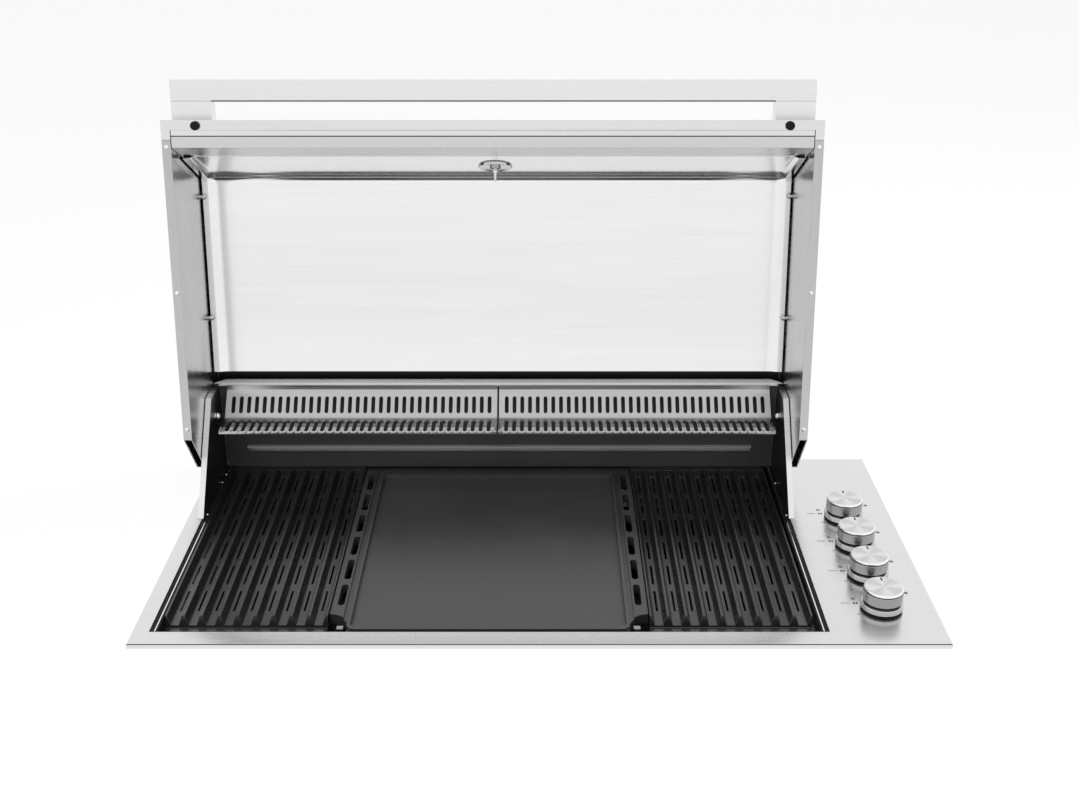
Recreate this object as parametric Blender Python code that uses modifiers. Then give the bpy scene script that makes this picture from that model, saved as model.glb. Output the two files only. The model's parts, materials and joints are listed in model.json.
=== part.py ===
"""Built-in gas grill with an open hood, for a worktop cut-out.

Metres, +Z up, +Y towards the back. z = 0 is the worktop, under the folded rim of the top plate.
The origin is on the rim's return, halfway along the front. The hood is modelled closed, in the
axes of its pivot, and the pivot's empty opens it to the pose that the part rests in.
"""
import math

import bmesh
import bpy
from mathutils import Matrix, Vector

# Sheets, clearances and cutters
SHEET = 0.0012
ENAMEL_SHEET = 0.0015
FIT = 0.0003
RUNNING_FIT = 0.0004
OVERRUN = 0.005
WELD = 0.00001
SMOOTH_DEG = 35

# Top plate: the flange that lies on the worktop
RIM_DROP = 0.0064
RIM_RETURN = 0.012
LEFT_BORDER = 0.021
FRONT_BORDER = 0.0275
REAR_BORDER = 0.024
CONTROLS_WIDTH = 0.145

# Firebox
FIREBOX_LEDGE = 0.0095
FIREBOX_END_LEDGE = 0.0015
FIREBOX_LAP = 0.012
FIREBOX_DEPTH = 0.150
FIREBOX_SILL = 0.100

# Cooking plates
PLATES_DROP = 0.0005
PLATES_FRONT_GAP = 0.0065
PLATES_REAR_GAP = 0.003
PLATES_LEFT_GAP = 0.0102
PLATES_RIGHT_GAP = 0.0143
PLATES_SPACING = 0.001
GRILL_WIDTH = 0.2055
GRILL_HEIGHT = 0.018
GRILL_BASE = 0.006
GRILL_FRONT_BASE = 0.003
GRILL_RIBS = 8
RIB_TOP = 0.0036
RIB_FOOT = 0.0120
GRILL_BORDER = 0.0024
GRILL_REAR_BAR = 0.0136
GRILL_CORNER = 0.007
RIB_NOSE = 0.0305
RIB_NOSE_FOOT = 0.026
GRILL_SLOTS = 6
GRILL_SLOT_WIDTH = 0.0026
GRILL_SLOT_SHARE = 0.74
GRILL_SLOTS_FRONT = 0.0594
GRILL_SLOTS_REAR = 0.0162
HOTPLATE_WIDTH = 0.4045
HOTPLATE_RAIL = 0.0182
PAN_GROOVE = 0.0069
PAN_GROOVE_DEPTH = 0.003
PAN_GROOVE_REAR = 0.0045
PAN_REAR_FLANGE = 0.0184
PAN_RIM = 0.0042
PAN_RIM_FRONT = 0.0078
PAN_RIM_REAR = 0.010
PAN_RIM_RISE = 0.004
PAN_SINK = 0.004
PAN_CORNER = 0.010
CORNER_STEPS = 3
RAIL_SLOTS = 6
RAIL_SLOT_WIDTH = 0.009
RAIL_SLOT_INSET = 0.0066
RAIL_SLOT_ROUND = 0.003
RAIL_SLOT_SHARE = 0.79
RAIL_SLOTS_FRONT = 0.0608
RAIL_SLOTS_REAR = 0.021
RAIL_NOTCH = 0.015
NOTCH_STEPS = 6

# Rests for the plates and the flame tamers
REST_SHELF = 0.013
TAMER_DROP = 0.046

# Flame tamers and burners
BURNERS = 4
TAMER_WIDTH = 0.110
TAMER_RISE = 0.024
TAMER_END_GAP = 0.002
BURNER_DROP = 0.100
BURNER_WIDTH = 0.044
BURNER_HEIGHT = 0.028
BURNER_CHAMFER = 0.009
BURNER_FRONT_GAP = 0.030
NECK_RADIUS = 0.011
NECK_BORE = 0.0075
NECK_REACH = 0.002
NECK_BORE_DEPTH = 0.040

# Knobs, bezels and valves
KNOBS = 4
KNOB_INSET = 0.076
KNOB_FRONT = 0.081
KNOB_PITCH = 0.079
KNOB_HEIGHT = 0.0320
KNOB_RADIUS = 0.02475
KNOB_BEVEL = 0.0012
KNOB_LINE = 0.0008
KNOB_CAP = 0.0030
BARREL_RADIUS = 0.0252
KNOB_SKIRT = 0.0205
KNOB_SKIRT_DROP = 0.005
KNOB_WALL = 0.0025
KNOB_HUB = 0.0070
BEZEL_RADIUS = 0.0268
BEZEL_HEIGHT = 0.0110
BEZEL_BEVEL = 0.0012
BEZEL_BORE_SHARE = 0.33
KNOB_GROOVE = 0.0027
PUSH_TRAVEL = 0.0020
STEM_RADIUS = 0.0035
STEM_SOCKET = 0.014
STEM_GRIP = 0.018
PLUG_RADIUS = 0.0070
PLUG_WALL = 0.0028
PLUG_FLOOR = 0.004
VALVE_WIDTH = 0.028
VALVE_TOP = 0.020
VALVE_BOTTOM = 0.060
NECK_TOP = 0.005
VALVE_NECK = 0.0105
BORE_FLOOR = 0.052
VALVE_PORT_DROP = 0.044
VALVE_PORT_RADIUS = 0.0055
VALVE_PORT_LENGTH = 0.006
STEM_HOLE = 0.0120
ROUND_SIDES = 24
SMALL_SIDES = 16

# Gas manifold, feed tubes and control housing
MANIFOLD_SIZE = 0.018
MANIFOLD_FRONT = 0.055
MANIFOLD_FOOT = 0.014
INLET_RADIUS = 0.0095
INLET_TAIL = 0.003
TUBE_RADIUS = 0.0035
TUBE_LEVEL_DROP = 0.054
TUBE_LEVEL_STEP = 0.0095
TUBE_SIDE_GAP = 0.020
TUBE_FRONT_BACK = 0.0205
TUBE_BEND = 0.008
TUBE_BEND_SHARE = 0.45
TUBE_BEND_STEPS = 3
TUBE_END = 0.008
HOUSING_DEPTH = 0.092
HOUSING_SIDE_GAP = 0.004

# Hood wings, back panel and its liner
WING_THICK = 0.008
WING_OUTSET = 0.006
WING_FOOT_REACH = 0.1226
WING_TOP_REACH = 0.0106
WING_HEIGHT = 0.139
WALL_BEHIND_PIVOT = 0.0444
WALL_INSIDE_APERTURE = 0.004
RAIL_DEPTH = 0.018
RAIL_CHAMFER = 0.015
RAIL_LIP = 0.004
LINER_SETBACK = 0.0022
FLUE_SIDE_MARGIN = 0.0355
FLUE_TOP = 0.0335
FLUE_HEIGHT = 0.009
FLUE_LIP = 0.006

# Warming racks
RACK_SIDE_GAP = 0.013
RACK_SPACING = 0.001
RACK_HEIGHT = 0.096
RACK_REACH = 0.076
RACK_LIP = 0.005
RACK_SHELF = 0.044
RACK_SLOPE_DEPTH = 0.0275
RACK_SLOPE_RISE = 0.0291
RACK_NECK_DEPTH = 0.002
RACK_NECK_RISE = 0.0039
RACK_CREST = 0.008
RACK_SLOTS = 34
RACK_SLOT_WIDTH = 0.005
RACK_END_MARGIN = 0.0057
SHELF_SLOT_FRONT = 0.004
SHELF_SLOT_REAR = 0.009
SLOPE_SLOT_MARGIN = 0.003
SLOPE_SLOT_TOP = 0.0055
BRACKET_THICK = 0.003
BRACKET_WIDTH = 0.018
BRACKET_DEPTH = 0.014
BRACKET_END_MARGIN = 0.010

# Hood, given for the closed hood: back from the plate's front edge, up from its own lower edge
HOOD_SIDE_GAP = 0.001
PIVOT_INSET = 0.0664
PIVOT_RISE = 0.1056
HOOD_LIFT = 0.004
HOOD_OPEN_DEG = 98.56
HOOD_HEIGHT = 0.178
HOOD_DEPTH = 0.503
HOOD_LEAN_DEG = 21.0
HOOD_CURVE = 0.045
HOOD_CURVE_STEPS = 6
HOOD_REAR_RISE = 0.060
HOOD_REAR_CHAMFER = 0.060
SIDE_THICK = 0.012
LIP_WIDTH = 0.0156
LIP_LEG = 0.026
LIP_HEM = 0.0060
LIP_HEM_RISE = 0.003
FOLD_WIDTH = 0.0038
FOLD_HEIGHT = 0.028
CHANNEL_RISE = 0.004
CHANNEL_FACE = 0.0125
CHANNEL_REAR_RUN = 0.0150
CHANNEL_REAR_RISE = 0.046
LINER_FOOT_RISE = 0.0545
LINER_WALL_GAP = 0.0315
LINER_TOP = 0.145
LINER_REAR_GAP = 0.118
LINER_CURVE = 0.016
LINER_CURVE_STEPS = 4
LINER_FLANGE = 0.012
HANDLE_SIDE_GAP = 0.006
HANDLE_BAR_DEPTH = 0.0285
HANDLE_BAR_HEIGHT = 0.0255
HANDLE_RISE = 0.0365
HANDLE_GAP = 0.022
HANDLE_END = 0.054
HANDLE_WALL = 0.0015
BUMPER_RADIUS = 0.006
BUMPER_HEIGHT = 0.0034
BUMPER_INSET = 0.0462
BUMPER_BACK = 0.0074
PIVOT_BOLT_RADIUS = 0.004
PIVOT_HEAD_RADIUS = 0.0075
PIVOT_HEAD_THICK = 0.004
PIVOT_NUT_THICK = 0.004

# Thermometer in the hood's front wall
GAUGE_RISE = 0.1039
GAUGE_RADIUS = 0.030
GAUGE_HEIGHT = 0.014
GAUGE_WALL = 0.003
GAUGE_FLOOR = 0.006
GAUGE_STEM = 0.004
GAUGE_SHOULDER = 0.008
PROBE_RADIUS = 0.002
PROBE_LENGTH = 0.022
NEEDLE_HUB = 0.003
NEEDLE_THICK = 0.0012
NEEDLE_LENGTH = 0.021
NEEDLE_WIDTH = 0.0018
NEEDLE_START_DEG = 225
SEAT_RADIUS = 0.0225
SEAT_THICK = 0.0015
SEAT_NUT_RADIUS = 0.008
SEAT_NUT_THICK = 0.004

# Grease tray and its runners
TRAY_SIDE_MARGIN = 0.101
TRAY_END_MARGIN = 0.02625
TRAY_HEIGHT = 0.040
TRAY_FLANGE = 0.009
TRAY_LIP = 0.018
RUNNER_SHELF = 0.0075
RUNNER_HEIGHT = 0.008

# Sizes that follow from others
PLATES_SPAN = 2 * GRILL_WIDTH + HOTPLATE_WIDTH + 2 * PLATES_SPACING
APERTURE_WIDTH = PLATES_LEFT_GAP + PLATES_SPAN + PLATES_RIGHT_GAP
PLATE_WIDTH = LEFT_BORDER + APERTURE_WIDTH + CONTROLS_WIDTH
PIVOT_BACK = HOOD_DEPTH - PIVOT_INSET
WALL_BACK = PIVOT_BACK + WALL_BEHIND_PIVOT
PLATE_DEPTH = WALL_BACK + REAR_BORDER
APERTURE_DEPTH = WALL_BACK + WALL_INSIDE_APERTURE - FRONT_BORDER
PLATES_DEPTH = APERTURE_DEPTH - PLATES_FRONT_GAP - PLATES_REAR_GAP
WING_FOOT = PIVOT_BACK - WING_FOOT_REACH
WING_TOP = PIVOT_BACK - WING_TOP_REACH
HOOD_WIDTH = APERTURE_WIDTH + 2 * (WING_OUTSET + HOOD_SIDE_GAP + SIDE_THICK)
HANDLE_LENGTH = HOOD_WIDTH - 2 * HANDLE_SIDE_GAP
LINER_END = HOOD_DEPTH - LINER_REAR_GAP
RACK_SPAN = APERTURE_WIDTH - 2 * RACK_SIDE_GAP
RACK_FRONT = WALL_BACK - RACK_REACH
FLUE_WIDTH = APERTURE_WIDTH - 2 * FLUE_SIDE_MARGIN
BURNER_PITCH = (GRILL_WIDTH + HOTPLATE_WIDTH) / (BURNERS - 1)
TRAY_WIDTH = APERTURE_WIDTH - 2 * TRAY_SIDE_MARGIN
TRAY_DEPTH = APERTURE_DEPTH - 2 * TRAY_END_MARGIN

# Places that follow from the sizes
FRONT = -RIM_RETURN / 2
REAR = FRONT + PLATE_DEPTH
DECK = RIM_DROP
PLATE_LEFT = -PLATE_WIDTH / 2
PLATE_RIGHT = PLATE_WIDTH / 2
APERTURE_LEFT = PLATE_LEFT + LEFT_BORDER
APERTURE_RIGHT = APERTURE_LEFT + APERTURE_WIDTH
APERTURE_FRONT = FRONT + FRONT_BORDER
APERTURE_REAR = APERTURE_FRONT + APERTURE_DEPTH
COOK_X = (APERTURE_LEFT + APERTURE_RIGHT) / 2
BOX_LEFT = APERTURE_LEFT + FIREBOX_LEDGE
BOX_RIGHT = APERTURE_RIGHT - FIREBOX_LEDGE
BOX_FRONT = APERTURE_FRONT + FIREBOX_END_LEDGE
BOX_REAR = APERTURE_REAR - FIREBOX_END_LEDGE
BOX_TOP = DECK - SHEET - FIT
BOX_FLOOR = DECK - FIREBOX_DEPTH
PLATES_FRONT = APERTURE_FRONT + PLATES_FRONT_GAP
PLATES_TOP = DECK - PLATES_DROP
PLATES_BOTTOM = PLATES_TOP - GRILL_HEIGHT
REST_TOP = PLATES_BOTTOM - FIT
REST_LOW = REST_TOP - TAMER_DROP
WALL_Y = FRONT + WALL_BACK
KNOB_X = APERTURE_RIGHT + KNOB_INSET
PIVOT = Vector((COOK_X, FRONT + PIVOT_BACK, DECK + PIVOT_RISE))
HOOD_LEAN = math.radians(HOOD_LEAN_DEG)
WING_LEFT = APERTURE_LEFT - WING_OUTSET
WING_RIGHT = APERTURE_RIGHT + WING_OUTSET

# Finishes: colour, roughness, metallic
STAINLESS = ((0.80, 0.80, 0.79), 0.30, 1.0)
BRIGHT_STEEL = ((0.88, 0.88, 0.87), 0.18, 1.0)
DULL_STEEL = ((0.55, 0.55, 0.54), 0.45, 1.0)
ENAMEL = ((0.03, 0.03, 0.03), 0.45, 0.0)
CAST_IRON = ((0.06, 0.06, 0.06), 0.60, 0.2)
BRASS = ((0.72, 0.55, 0.28), 0.35, 1.0)
RUBBER = ((0.02, 0.02, 0.02), 0.80, 0.0)
DARK_STEEL = ((0.10, 0.10, 0.10), 0.40, 0.8)
RED_PAINT = ((0.60, 0.05, 0.04), 0.50, 0.0)

AXES = {
    "XY": Matrix(((1, 0, 0), (0, 1, 0), (0, 0, 1))),
    "YZ": Matrix(((0, 0, 1), (1, 0, 0), (0, 1, 0))),
    "XZ": Matrix(((1, 0, 0), (0, 0, -1), (0, 1, 0))),
}


def clear_scene():
    for obj in list(bpy.data.objects):
        bpy.data.objects.remove(obj, do_unlink=True)


def new_collection(name):
    group = bpy.data.collections.new(name)
    bpy.context.scene.collection.children.link(group)
    return group


def new_material(name, finish):
    colour, roughness, metallic = finish
    material = bpy.data.materials.new(name)
    material.use_nodes = True
    shader = material.node_tree.nodes["Principled BSDF"]
    shader.inputs["Base Color"].default_value = (*colour, 1)
    shader.inputs["Roughness"].default_value = roughness
    shader.inputs["Metallic"].default_value = metallic
    return material


def add(name, mesh, finish, place=(0, 0, 0), parent=None):
    """A sub-part: its mesh, its own material and its place."""
    obj = bpy.data.objects.new(name, mesh)
    obj.location = place
    obj.parent = parent
    mesh.materials.clear()
    mesh.materials.append(new_material(name, finish))
    PARTS.objects.link(obj)
    return obj


def tool(name, mesh, parent=None):
    """A shape that cuts or joins a part and isn't built itself."""
    obj = bpy.data.objects.new(name, mesh)
    obj.parent = parent
    obj.hide_render = True
    obj.display_type = "WIRE"
    TOOLS.objects.link(obj)
    return obj


def combine(obj, operation, meshes):
    """Boolean modifiers on obj, one for each mesh, in the axes of its parent."""
    for number, mesh in enumerate(meshes, 1):
        helper = tool(f"{obj.name}_{operation.lower()}_{number}", mesh, obj.parent)
        modifier = obj.modifiers.new(f"{operation} {number}", "BOOLEAN")
        modifier.operation = operation
        modifier.solver = "EXACT"
        modifier.object = helper


def cut(obj, *meshes):
    combine(obj, "DIFFERENCE", meshes)


def unite(obj, *meshes):
    combine(obj, "UNION", meshes)


def empty(name, place, parent=None, rotation=(0, 0, 0)):
    obj = bpy.data.objects.new(name, None)
    obj.empty_display_size = PIVOT_HEAD_RADIUS
    obj.location = place
    obj.rotation_euler = rotation
    obj.parent = parent
    PARTS.objects.link(obj)
    return obj


def finish_mesh(name, bm):
    bmesh.ops.recalc_face_normals(bm, faces=bm.faces)
    mesh = bpy.data.meshes.new(name)
    bm.to_mesh(mesh)
    bm.free()
    return mesh


def box_mesh(name, *corner_pairs):
    """Separate boxes in one mesh, each from its low corner to its high corner."""
    bm = bmesh.new()
    for low, high in corner_pairs:
        low, high = Vector(low), Vector(high)
        scale = Matrix.Diagonal((*(high - low), 1))
        bmesh.ops.create_cube(bm, size=1, matrix=Matrix.Translation((low + high) / 2) @ scale)
    return finish_mesh(name, bm)


def rod_mesh(name, radius, sides, *end_pairs):
    """Separate cylinders in one mesh, each from one point to another."""
    bm = bmesh.new()
    for start, end in end_pairs:
        start, end = Vector(start), Vector(end)
        turn = (end - start).to_track_quat("Z", "Y").to_matrix().to_4x4()
        bmesh.ops.create_cone(
            bm, cap_ends=True, segments=sides, radius1=radius, radius2=radius,
            depth=(end - start).length, matrix=Matrix.Translation((start + end) / 2) @ turn,
        )
    return finish_mesh(name, bm)


def outline_mesh(name, outlines, low, high, axes="XY"):
    """Filled outlines with a thickness from low to high along the third axis.

    The first outline is the edge and the others are holes. The shape is a 2D curve,
    turned into a welded mesh.
    """
    curve = bpy.data.curves.new(name, "CURVE")
    curve.dimensions = "2D"
    curve.fill_mode = "BOTH"
    curve.extrude = (high - low) / 2
    for outline in outlines:
        spline = curve.splines.new("POLY")
        spline.points.add(len(outline) - 1)
        for point, (a, b) in zip(spline.points, outline):
            point.co = (a, b, 0, 1)
        spline.use_cyclic_u = True
    mesh = curve_to_mesh(name, curve)
    mesh.transform(AXES[axes].to_4x4() @ Matrix.Translation((0, 0, (low + high) / 2)))
    return mesh


def curve_to_mesh(name, curve):
    guide = bpy.data.objects.new(name, curve)
    TOOLS.objects.link(guide)
    bpy.context.view_layer.update()
    evaluated = guide.evaluated_get(bpy.context.evaluated_depsgraph_get())
    mesh = bpy.data.meshes.new_from_object(evaluated)
    bpy.data.objects.remove(guide)
    bm = bmesh.new()
    bm.from_mesh(mesh)
    bmesh.ops.remove_doubles(bm, verts=bm.verts, dist=WELD)
    bmesh.ops.recalc_face_normals(bm, faces=bm.faces)
    bm.to_mesh(mesh)
    bm.free()
    return mesh


def tube_mesh(name, points, radius):
    """A round tube with filled ends along points."""
    curve = bpy.data.curves.new(name, "CURVE")
    curve.dimensions = "3D"
    curve.bevel_depth = radius
    curve.bevel_resolution = 2
    curve.use_fill_caps = True
    spline = curve.splines.new("POLY")
    spline.points.add(len(points) - 1)
    for point, place in zip(spline.points, points):
        point.co = (*place, 1)
    return curve_to_mesh(name, curve)


def solidify(obj, thickness, outwards=False):
    modifier = obj.modifiers.new("Sheet", "SOLIDIFY")
    modifier.thickness = thickness
    modifier.offset = 1 if outwards else -1
    modifier.use_even_offset = True
    return obj


def folded_strip(path, thickness):
    """The closed outline of a sheet that follows path, with its thickness to the right."""
    return list(path) + offset_path(path, thickness)[::-1]


def offset_path(path, distance):
    """The path moved to its right by distance, with mitred corners."""
    points = [Vector(point) for point in path]
    normals = []
    for start, end in zip(points, points[1:]):
        along = (end - start).normalized()
        normals.append(Vector((along.y, -along.x)))
    moved = [points[0] + normals[0] * distance]
    for point, before, after in zip(points[1:-1], normals, normals[1:]):
        corner = (before + after).normalized()
        moved.append(point + corner * (distance / corner.dot(before)))
    moved.append(points[-1] + normals[-1] * distance)
    return [tuple(point) for point in moved]


def turned_mesh(name, profile, sides, closed=False):
    """A profile of (radius, height) points turned round Z, down its outer side."""
    bm = bmesh.new()
    verts = [bm.verts.new((radius, 0, height)) for radius, height in profile]
    for pair in zip(verts, verts[1:]):
        bm.edges.new(pair)
    if closed:
        bm.edges.new((verts[-1], verts[0]))
    mesh = bpy.data.meshes.new(name)
    bm.to_mesh(mesh)
    bm.free()
    guide = bpy.data.objects.new(name, mesh)
    screw = guide.modifiers.new("Turn", "SCREW")
    screw.steps = sides
    screw.render_steps = sides
    screw.use_merge_vertices = True
    screw.merge_threshold = WELD
    TOOLS.objects.link(guide)
    bpy.context.view_layer.update()
    turned = bpy.data.meshes.new_from_object(
        guide.evaluated_get(bpy.context.evaluated_depsgraph_get()))
    bpy.data.objects.remove(guide)
    bm = bmesh.new()
    bm.from_mesh(turned)
    bmesh.ops.recalc_face_normals(bm, faces=bm.faces)
    bm.to_mesh(turned)
    bm.free()
    return turned


def smooth(obj):
    obj.data.shade_smooth()
    obj.data.set_sharp_from_angle(angle=math.radians(SMOOTH_DEG))
    return obj


def joined_mesh(name, meshes):
    """Meshes that don't touch, as one mesh of separate solids."""
    bm = bmesh.new()
    for mesh in meshes:
        bm.from_mesh(mesh)
    return finish_mesh(name, bm)


def pan_mesh(name, outline, walls, level, sign, axes):
    """An open pan: a flat face with a wall of its own depth along each edge, or none.

    The face lies at level on the third axis and the walls go from it in the direction of sign.
    """
    bm = bmesh.new()
    count = len(outline)
    columns = []
    for index, (a, b) in enumerate(outline):
        depths = sorted({0, walls[index], walls[index - 1]})
        columns.append({
            depth: bm.verts.new(AXES[axes] @ Vector((a, b, level + sign * depth)))
            for depth in depths
        })
    bm.faces.new([column[0] for column in columns])
    for index, depth in enumerate(walls):
        if depth:
            here, there = columns[index], columns[(index + 1) % count]
            down = [there[key] for key in sorted(there) if key <= depth]
            up = [here[key] for key in sorted(here, reverse=True) if key <= depth]
            bm.faces.new(down + up)
    bmesh.ops.recalc_face_normals(bm, faces=bm.faces)
    return bm


def knob_sites():
    return [Vector((KNOB_X, FRONT + KNOB_FRONT + KNOB_PITCH * k, DECK)) for k in range(KNOBS)]


def burner_xs():
    return [COOK_X + BURNER_PITCH * (k - (BURNERS - 1) / 2) for k in range(BURNERS)]


def make_top_plate():
    plate = add("top_plate", box_mesh("top_plate", (
        (PLATE_LEFT, FRONT, 0), (PLATE_RIGHT, REAR, DECK))), STAINLESS)
    hollow = box_mesh("hollow", (
        (PLATE_LEFT + SHEET, FRONT + SHEET, SHEET), (PLATE_RIGHT - SHEET, REAR - SHEET, DECK - SHEET)))
    mouth = box_mesh("mouth", (
        (PLATE_LEFT + RIM_RETURN, FRONT + RIM_RETURN, -OVERRUN),
        (PLATE_RIGHT - RIM_RETURN, REAR - RIM_RETURN, DECK / 2)))
    aperture = box_mesh("aperture", (
        (APERTURE_LEFT, APERTURE_FRONT, -OVERRUN), (APERTURE_RIGHT, APERTURE_REAR, DECK + OVERRUN)))
    drills = rod_mesh("drills", STEM_HOLE / 2, SMALL_SIDES, *[
        (site - Vector((0, 0, OVERRUN)), site + Vector((0, 0, OVERRUN))) for site in knob_sites()])
    cut(plate, hollow, mouth, aperture, drills)


def make_firebox():
    wall = ENAMEL_SHEET
    box = add("firebox", box_mesh("firebox", (
        (BOX_LEFT - wall, BOX_FRONT - wall, BOX_FLOOR), (BOX_RIGHT + wall, BOX_REAR + wall, BOX_TOP))),
        ENAMEL)
    rim = box_mesh("rim", (
        (APERTURE_LEFT - FIREBOX_LAP, APERTURE_FRONT - FIREBOX_LAP, BOX_TOP - wall),
        (APERTURE_RIGHT + FIREBOX_LAP, APERTURE_REAR + FIREBOX_LAP, BOX_TOP)))
    unite(box, rim)
    inside = box_mesh("inside", (
        (BOX_LEFT, BOX_FRONT, BOX_FLOOR + wall), (BOX_RIGHT, BOX_REAR, BOX_TOP + OVERRUN)))
    window = box_mesh("window", (
        (BOX_LEFT + FIREBOX_SILL, BOX_FRONT + FIREBOX_SILL, BOX_FLOOR - OVERRUN),
        (BOX_RIGHT - FIREBOX_SILL, BOX_REAR - FIREBOX_SILL, BOX_FLOOR + wall + OVERRUN)))
    through = Vector((0, OVERRUN, 0))
    front = BOX_FRONT - wall / 2
    necks = rod_mesh("necks", NECK_RADIUS + FIT, SMALL_SIDES, *[
        (Vector((x, front, DECK - BURNER_DROP)) - through, Vector((x, front, DECK - BURNER_DROP)) + through)
        for x in burner_xs()])
    unite(box, tray_runners())
    cut(box, inside, window, necks)


def make_plate_rest():
    """A folded frame round the firebox: the plates lie on it, the flame tamers on its lower shelves."""
    left, right = BOX_LEFT + FIT, BOX_RIGHT - FIT
    front, rear = BOX_FRONT + FIT, BOX_REAR - FIT
    rest = add("plate_rest", box_mesh("plate_rest", (
        (left, front, REST_LOW - SHEET), (right, rear, REST_TOP))), STAINLESS)
    inside = box_mesh("inside", (
        (left + SHEET, front + SHEET, REST_LOW), (right - SHEET, rear - SHEET, REST_TOP - SHEET)))
    mouth = box_mesh("mouth", (
        (left + REST_SHELF, front + REST_SHELF, REST_LOW + SHEET),
        (right - REST_SHELF, rear - REST_SHELF, REST_TOP + OVERRUN)))
    base = box_mesh("base", (
        (left + SHEET, front + REST_SHELF, REST_LOW - OVERRUN),
        (right - SHEET, rear - REST_SHELF, REST_LOW + SHEET)))
    cut(rest, inside, mouth, base)


def make_burners():
    rear = BOX_REAR - FIT
    for number, x in enumerate(burner_xs(), 1):
        axis_z = DECK - BURNER_DROP
        half = BURNER_WIDTH / 2
        low = axis_z - BURNER_HEIGHT / 2
        high = axis_z + BURNER_HEIGHT / 2
        section = [
            (x - half, low), (x + half, low), (x + half, high - BURNER_CHAMFER),
            (x + half - BURNER_CHAMFER, high), (x - half + BURNER_CHAMFER, high),
            (x - half, high - BURNER_CHAMFER),
        ]
        body = outline_mesh(f"burner_{number}", [section], -rear, -(BOX_FRONT + BURNER_FRONT_GAP), "XZ")
        burner = add(f"burner_{number}", body, CAST_IRON)
        mouth_y = BOX_FRONT - ENAMEL_SHEET - NECK_REACH
        neck_end = BOX_FRONT + BURNER_FRONT_GAP + OVERRUN
        unite(burner, rod_mesh("neck", NECK_RADIUS, SMALL_SIDES, ((x, mouth_y, axis_z), (x, neck_end, axis_z))))
        cut(burner, rod_mesh("bore", NECK_BORE, SMALL_SIDES, (
            (x, mouth_y - OVERRUN, axis_z), (x, mouth_y + NECK_BORE_DEPTH, axis_z))))


def make_flame_tamers():
    """Roof-shaped covers over the outer burners, under the two ribbed plates."""
    low = REST_LOW + FIT
    half = TAMER_WIDTH / 2
    gap = FIT + SHEET + TAMER_END_GAP
    for side, x in (("left", burner_xs()[0]), ("right", burner_xs()[-1])):
        path = [(x - half, low), (x, low + TAMER_RISE), (x + half, low)]
        outline = folded_strip(path, -SHEET)
        add(f"flame_tamer_{side}", outline_mesh(
            "tamer", [outline], -(BOX_REAR - gap), -(BOX_FRONT + gap), "XZ"), STAINLESS)


def make_grill(name, left, outer, finish):
    """A ribbed plate: channels between ribs, slots through their floors and a low front edge.

    Its rear corner on the outer side, -1 for left and 1 for right, is cut off.
    """
    right = left + GRILL_WIDTH
    channels = GRILL_RIBS + 1
    pitch = (GRILL_WIDTH - 2 * GRILL_BORDER + RIB_TOP) / channels
    base = PLATES_BOTTOM + GRILL_BASE
    taper = (RIB_FOOT - RIB_TOP) / 2
    section = [(left, PLATES_BOTTOM), (right, PLATES_BOTTOM), (right, PLATES_TOP)]
    centres = []
    for channel in range(channels):
        high_x = right - GRILL_BORDER - pitch * channel
        low_x = high_x - pitch + RIB_TOP
        section += [(high_x, PLATES_TOP), (high_x - taper, base), (low_x + taper, base), (low_x, PLATES_TOP)]
        centres.append((low_x + high_x) / 2)
    section.append((left, PLATES_TOP))
    front = PLATES_FRONT
    rear = front + PLATES_DEPTH
    lift = empty(f"{name}_lift", (0, 0, 0))
    body = outline_mesh(name, [section], -rear, -front, "XZ")
    grill = add(name, body, finish, parent=lift)
    bar = box_mesh("rear_bar", ((left, rear - GRILL_REAR_BAR, base - GRILL_BASE / 2), (right, rear, PLATES_TOP)))
    unite(grill, bar)
    span = PLATES_DEPTH - GRILL_SLOTS_FRONT - GRILL_SLOTS_REAR
    step = span / (GRILL_SLOTS - 1 + GRILL_SLOT_SHARE)
    slots = []
    for x in centres:
        for index in range(GRILL_SLOTS):
            y = front + GRILL_SLOTS_FRONT + step * index
            slots.append((
                (x - GRILL_SLOT_WIDTH / 2, y, PLATES_BOTTOM - OVERRUN),
                (x + GRILL_SLOT_WIDTH / 2, y + step * GRILL_SLOT_SHARE, base + OVERRUN)))
    front_top = PLATES_BOTTOM + GRILL_FRONT_BASE
    nose = outline_mesh("nose", [[
        (front - OVERRUN, front_top), (front + RIB_NOSE_FOOT, front_top), (front + RIB_NOSE, PLATES_TOP),
        (front + RIB_NOSE, PLATES_TOP + OVERRUN), (front - OVERRUN, PLATES_TOP + OVERRUN)]],
        left - OVERRUN, right + OVERRUN, "YZ")
    edge = left if outer < 0 else right
    reach = GRILL_CORNER + OVERRUN
    corner = outline_mesh("corner", [[
        (edge + outer * OVERRUN, rear - reach), (edge - outer * reach, rear + OVERRUN),
        (edge + outer * OVERRUN, rear + OVERRUN)]], PLATES_BOTTOM - OVERRUN, PLATES_TOP + OVERRUN)
    cut(grill, box_mesh("slots", *slots), nose, corner)


def arc_points(centre, radius, start_deg, end_deg, steps):
    points = []
    for index in range(steps + 1):
        angle = math.radians(start_deg + (end_deg - start_deg) * index / steps)
        points.append((centre[0] + radius * math.cos(angle), centre[1] + radius * math.sin(angle)))
    return points


def rounded_rectangle(left, right, low, high, radius, steps=CORNER_STEPS):
    corners = ((right, high, 0), (left, high, 90), (left, low, 180), (right, low, 270))
    points = []
    for x, y, start in corners:
        centre = (x - math.copysign(radius, x - (left + right) / 2), y - math.copysign(radius, y - (low + high) / 2))
        points += arc_points(centre, radius, start, start + 90, steps)
    return points


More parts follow.
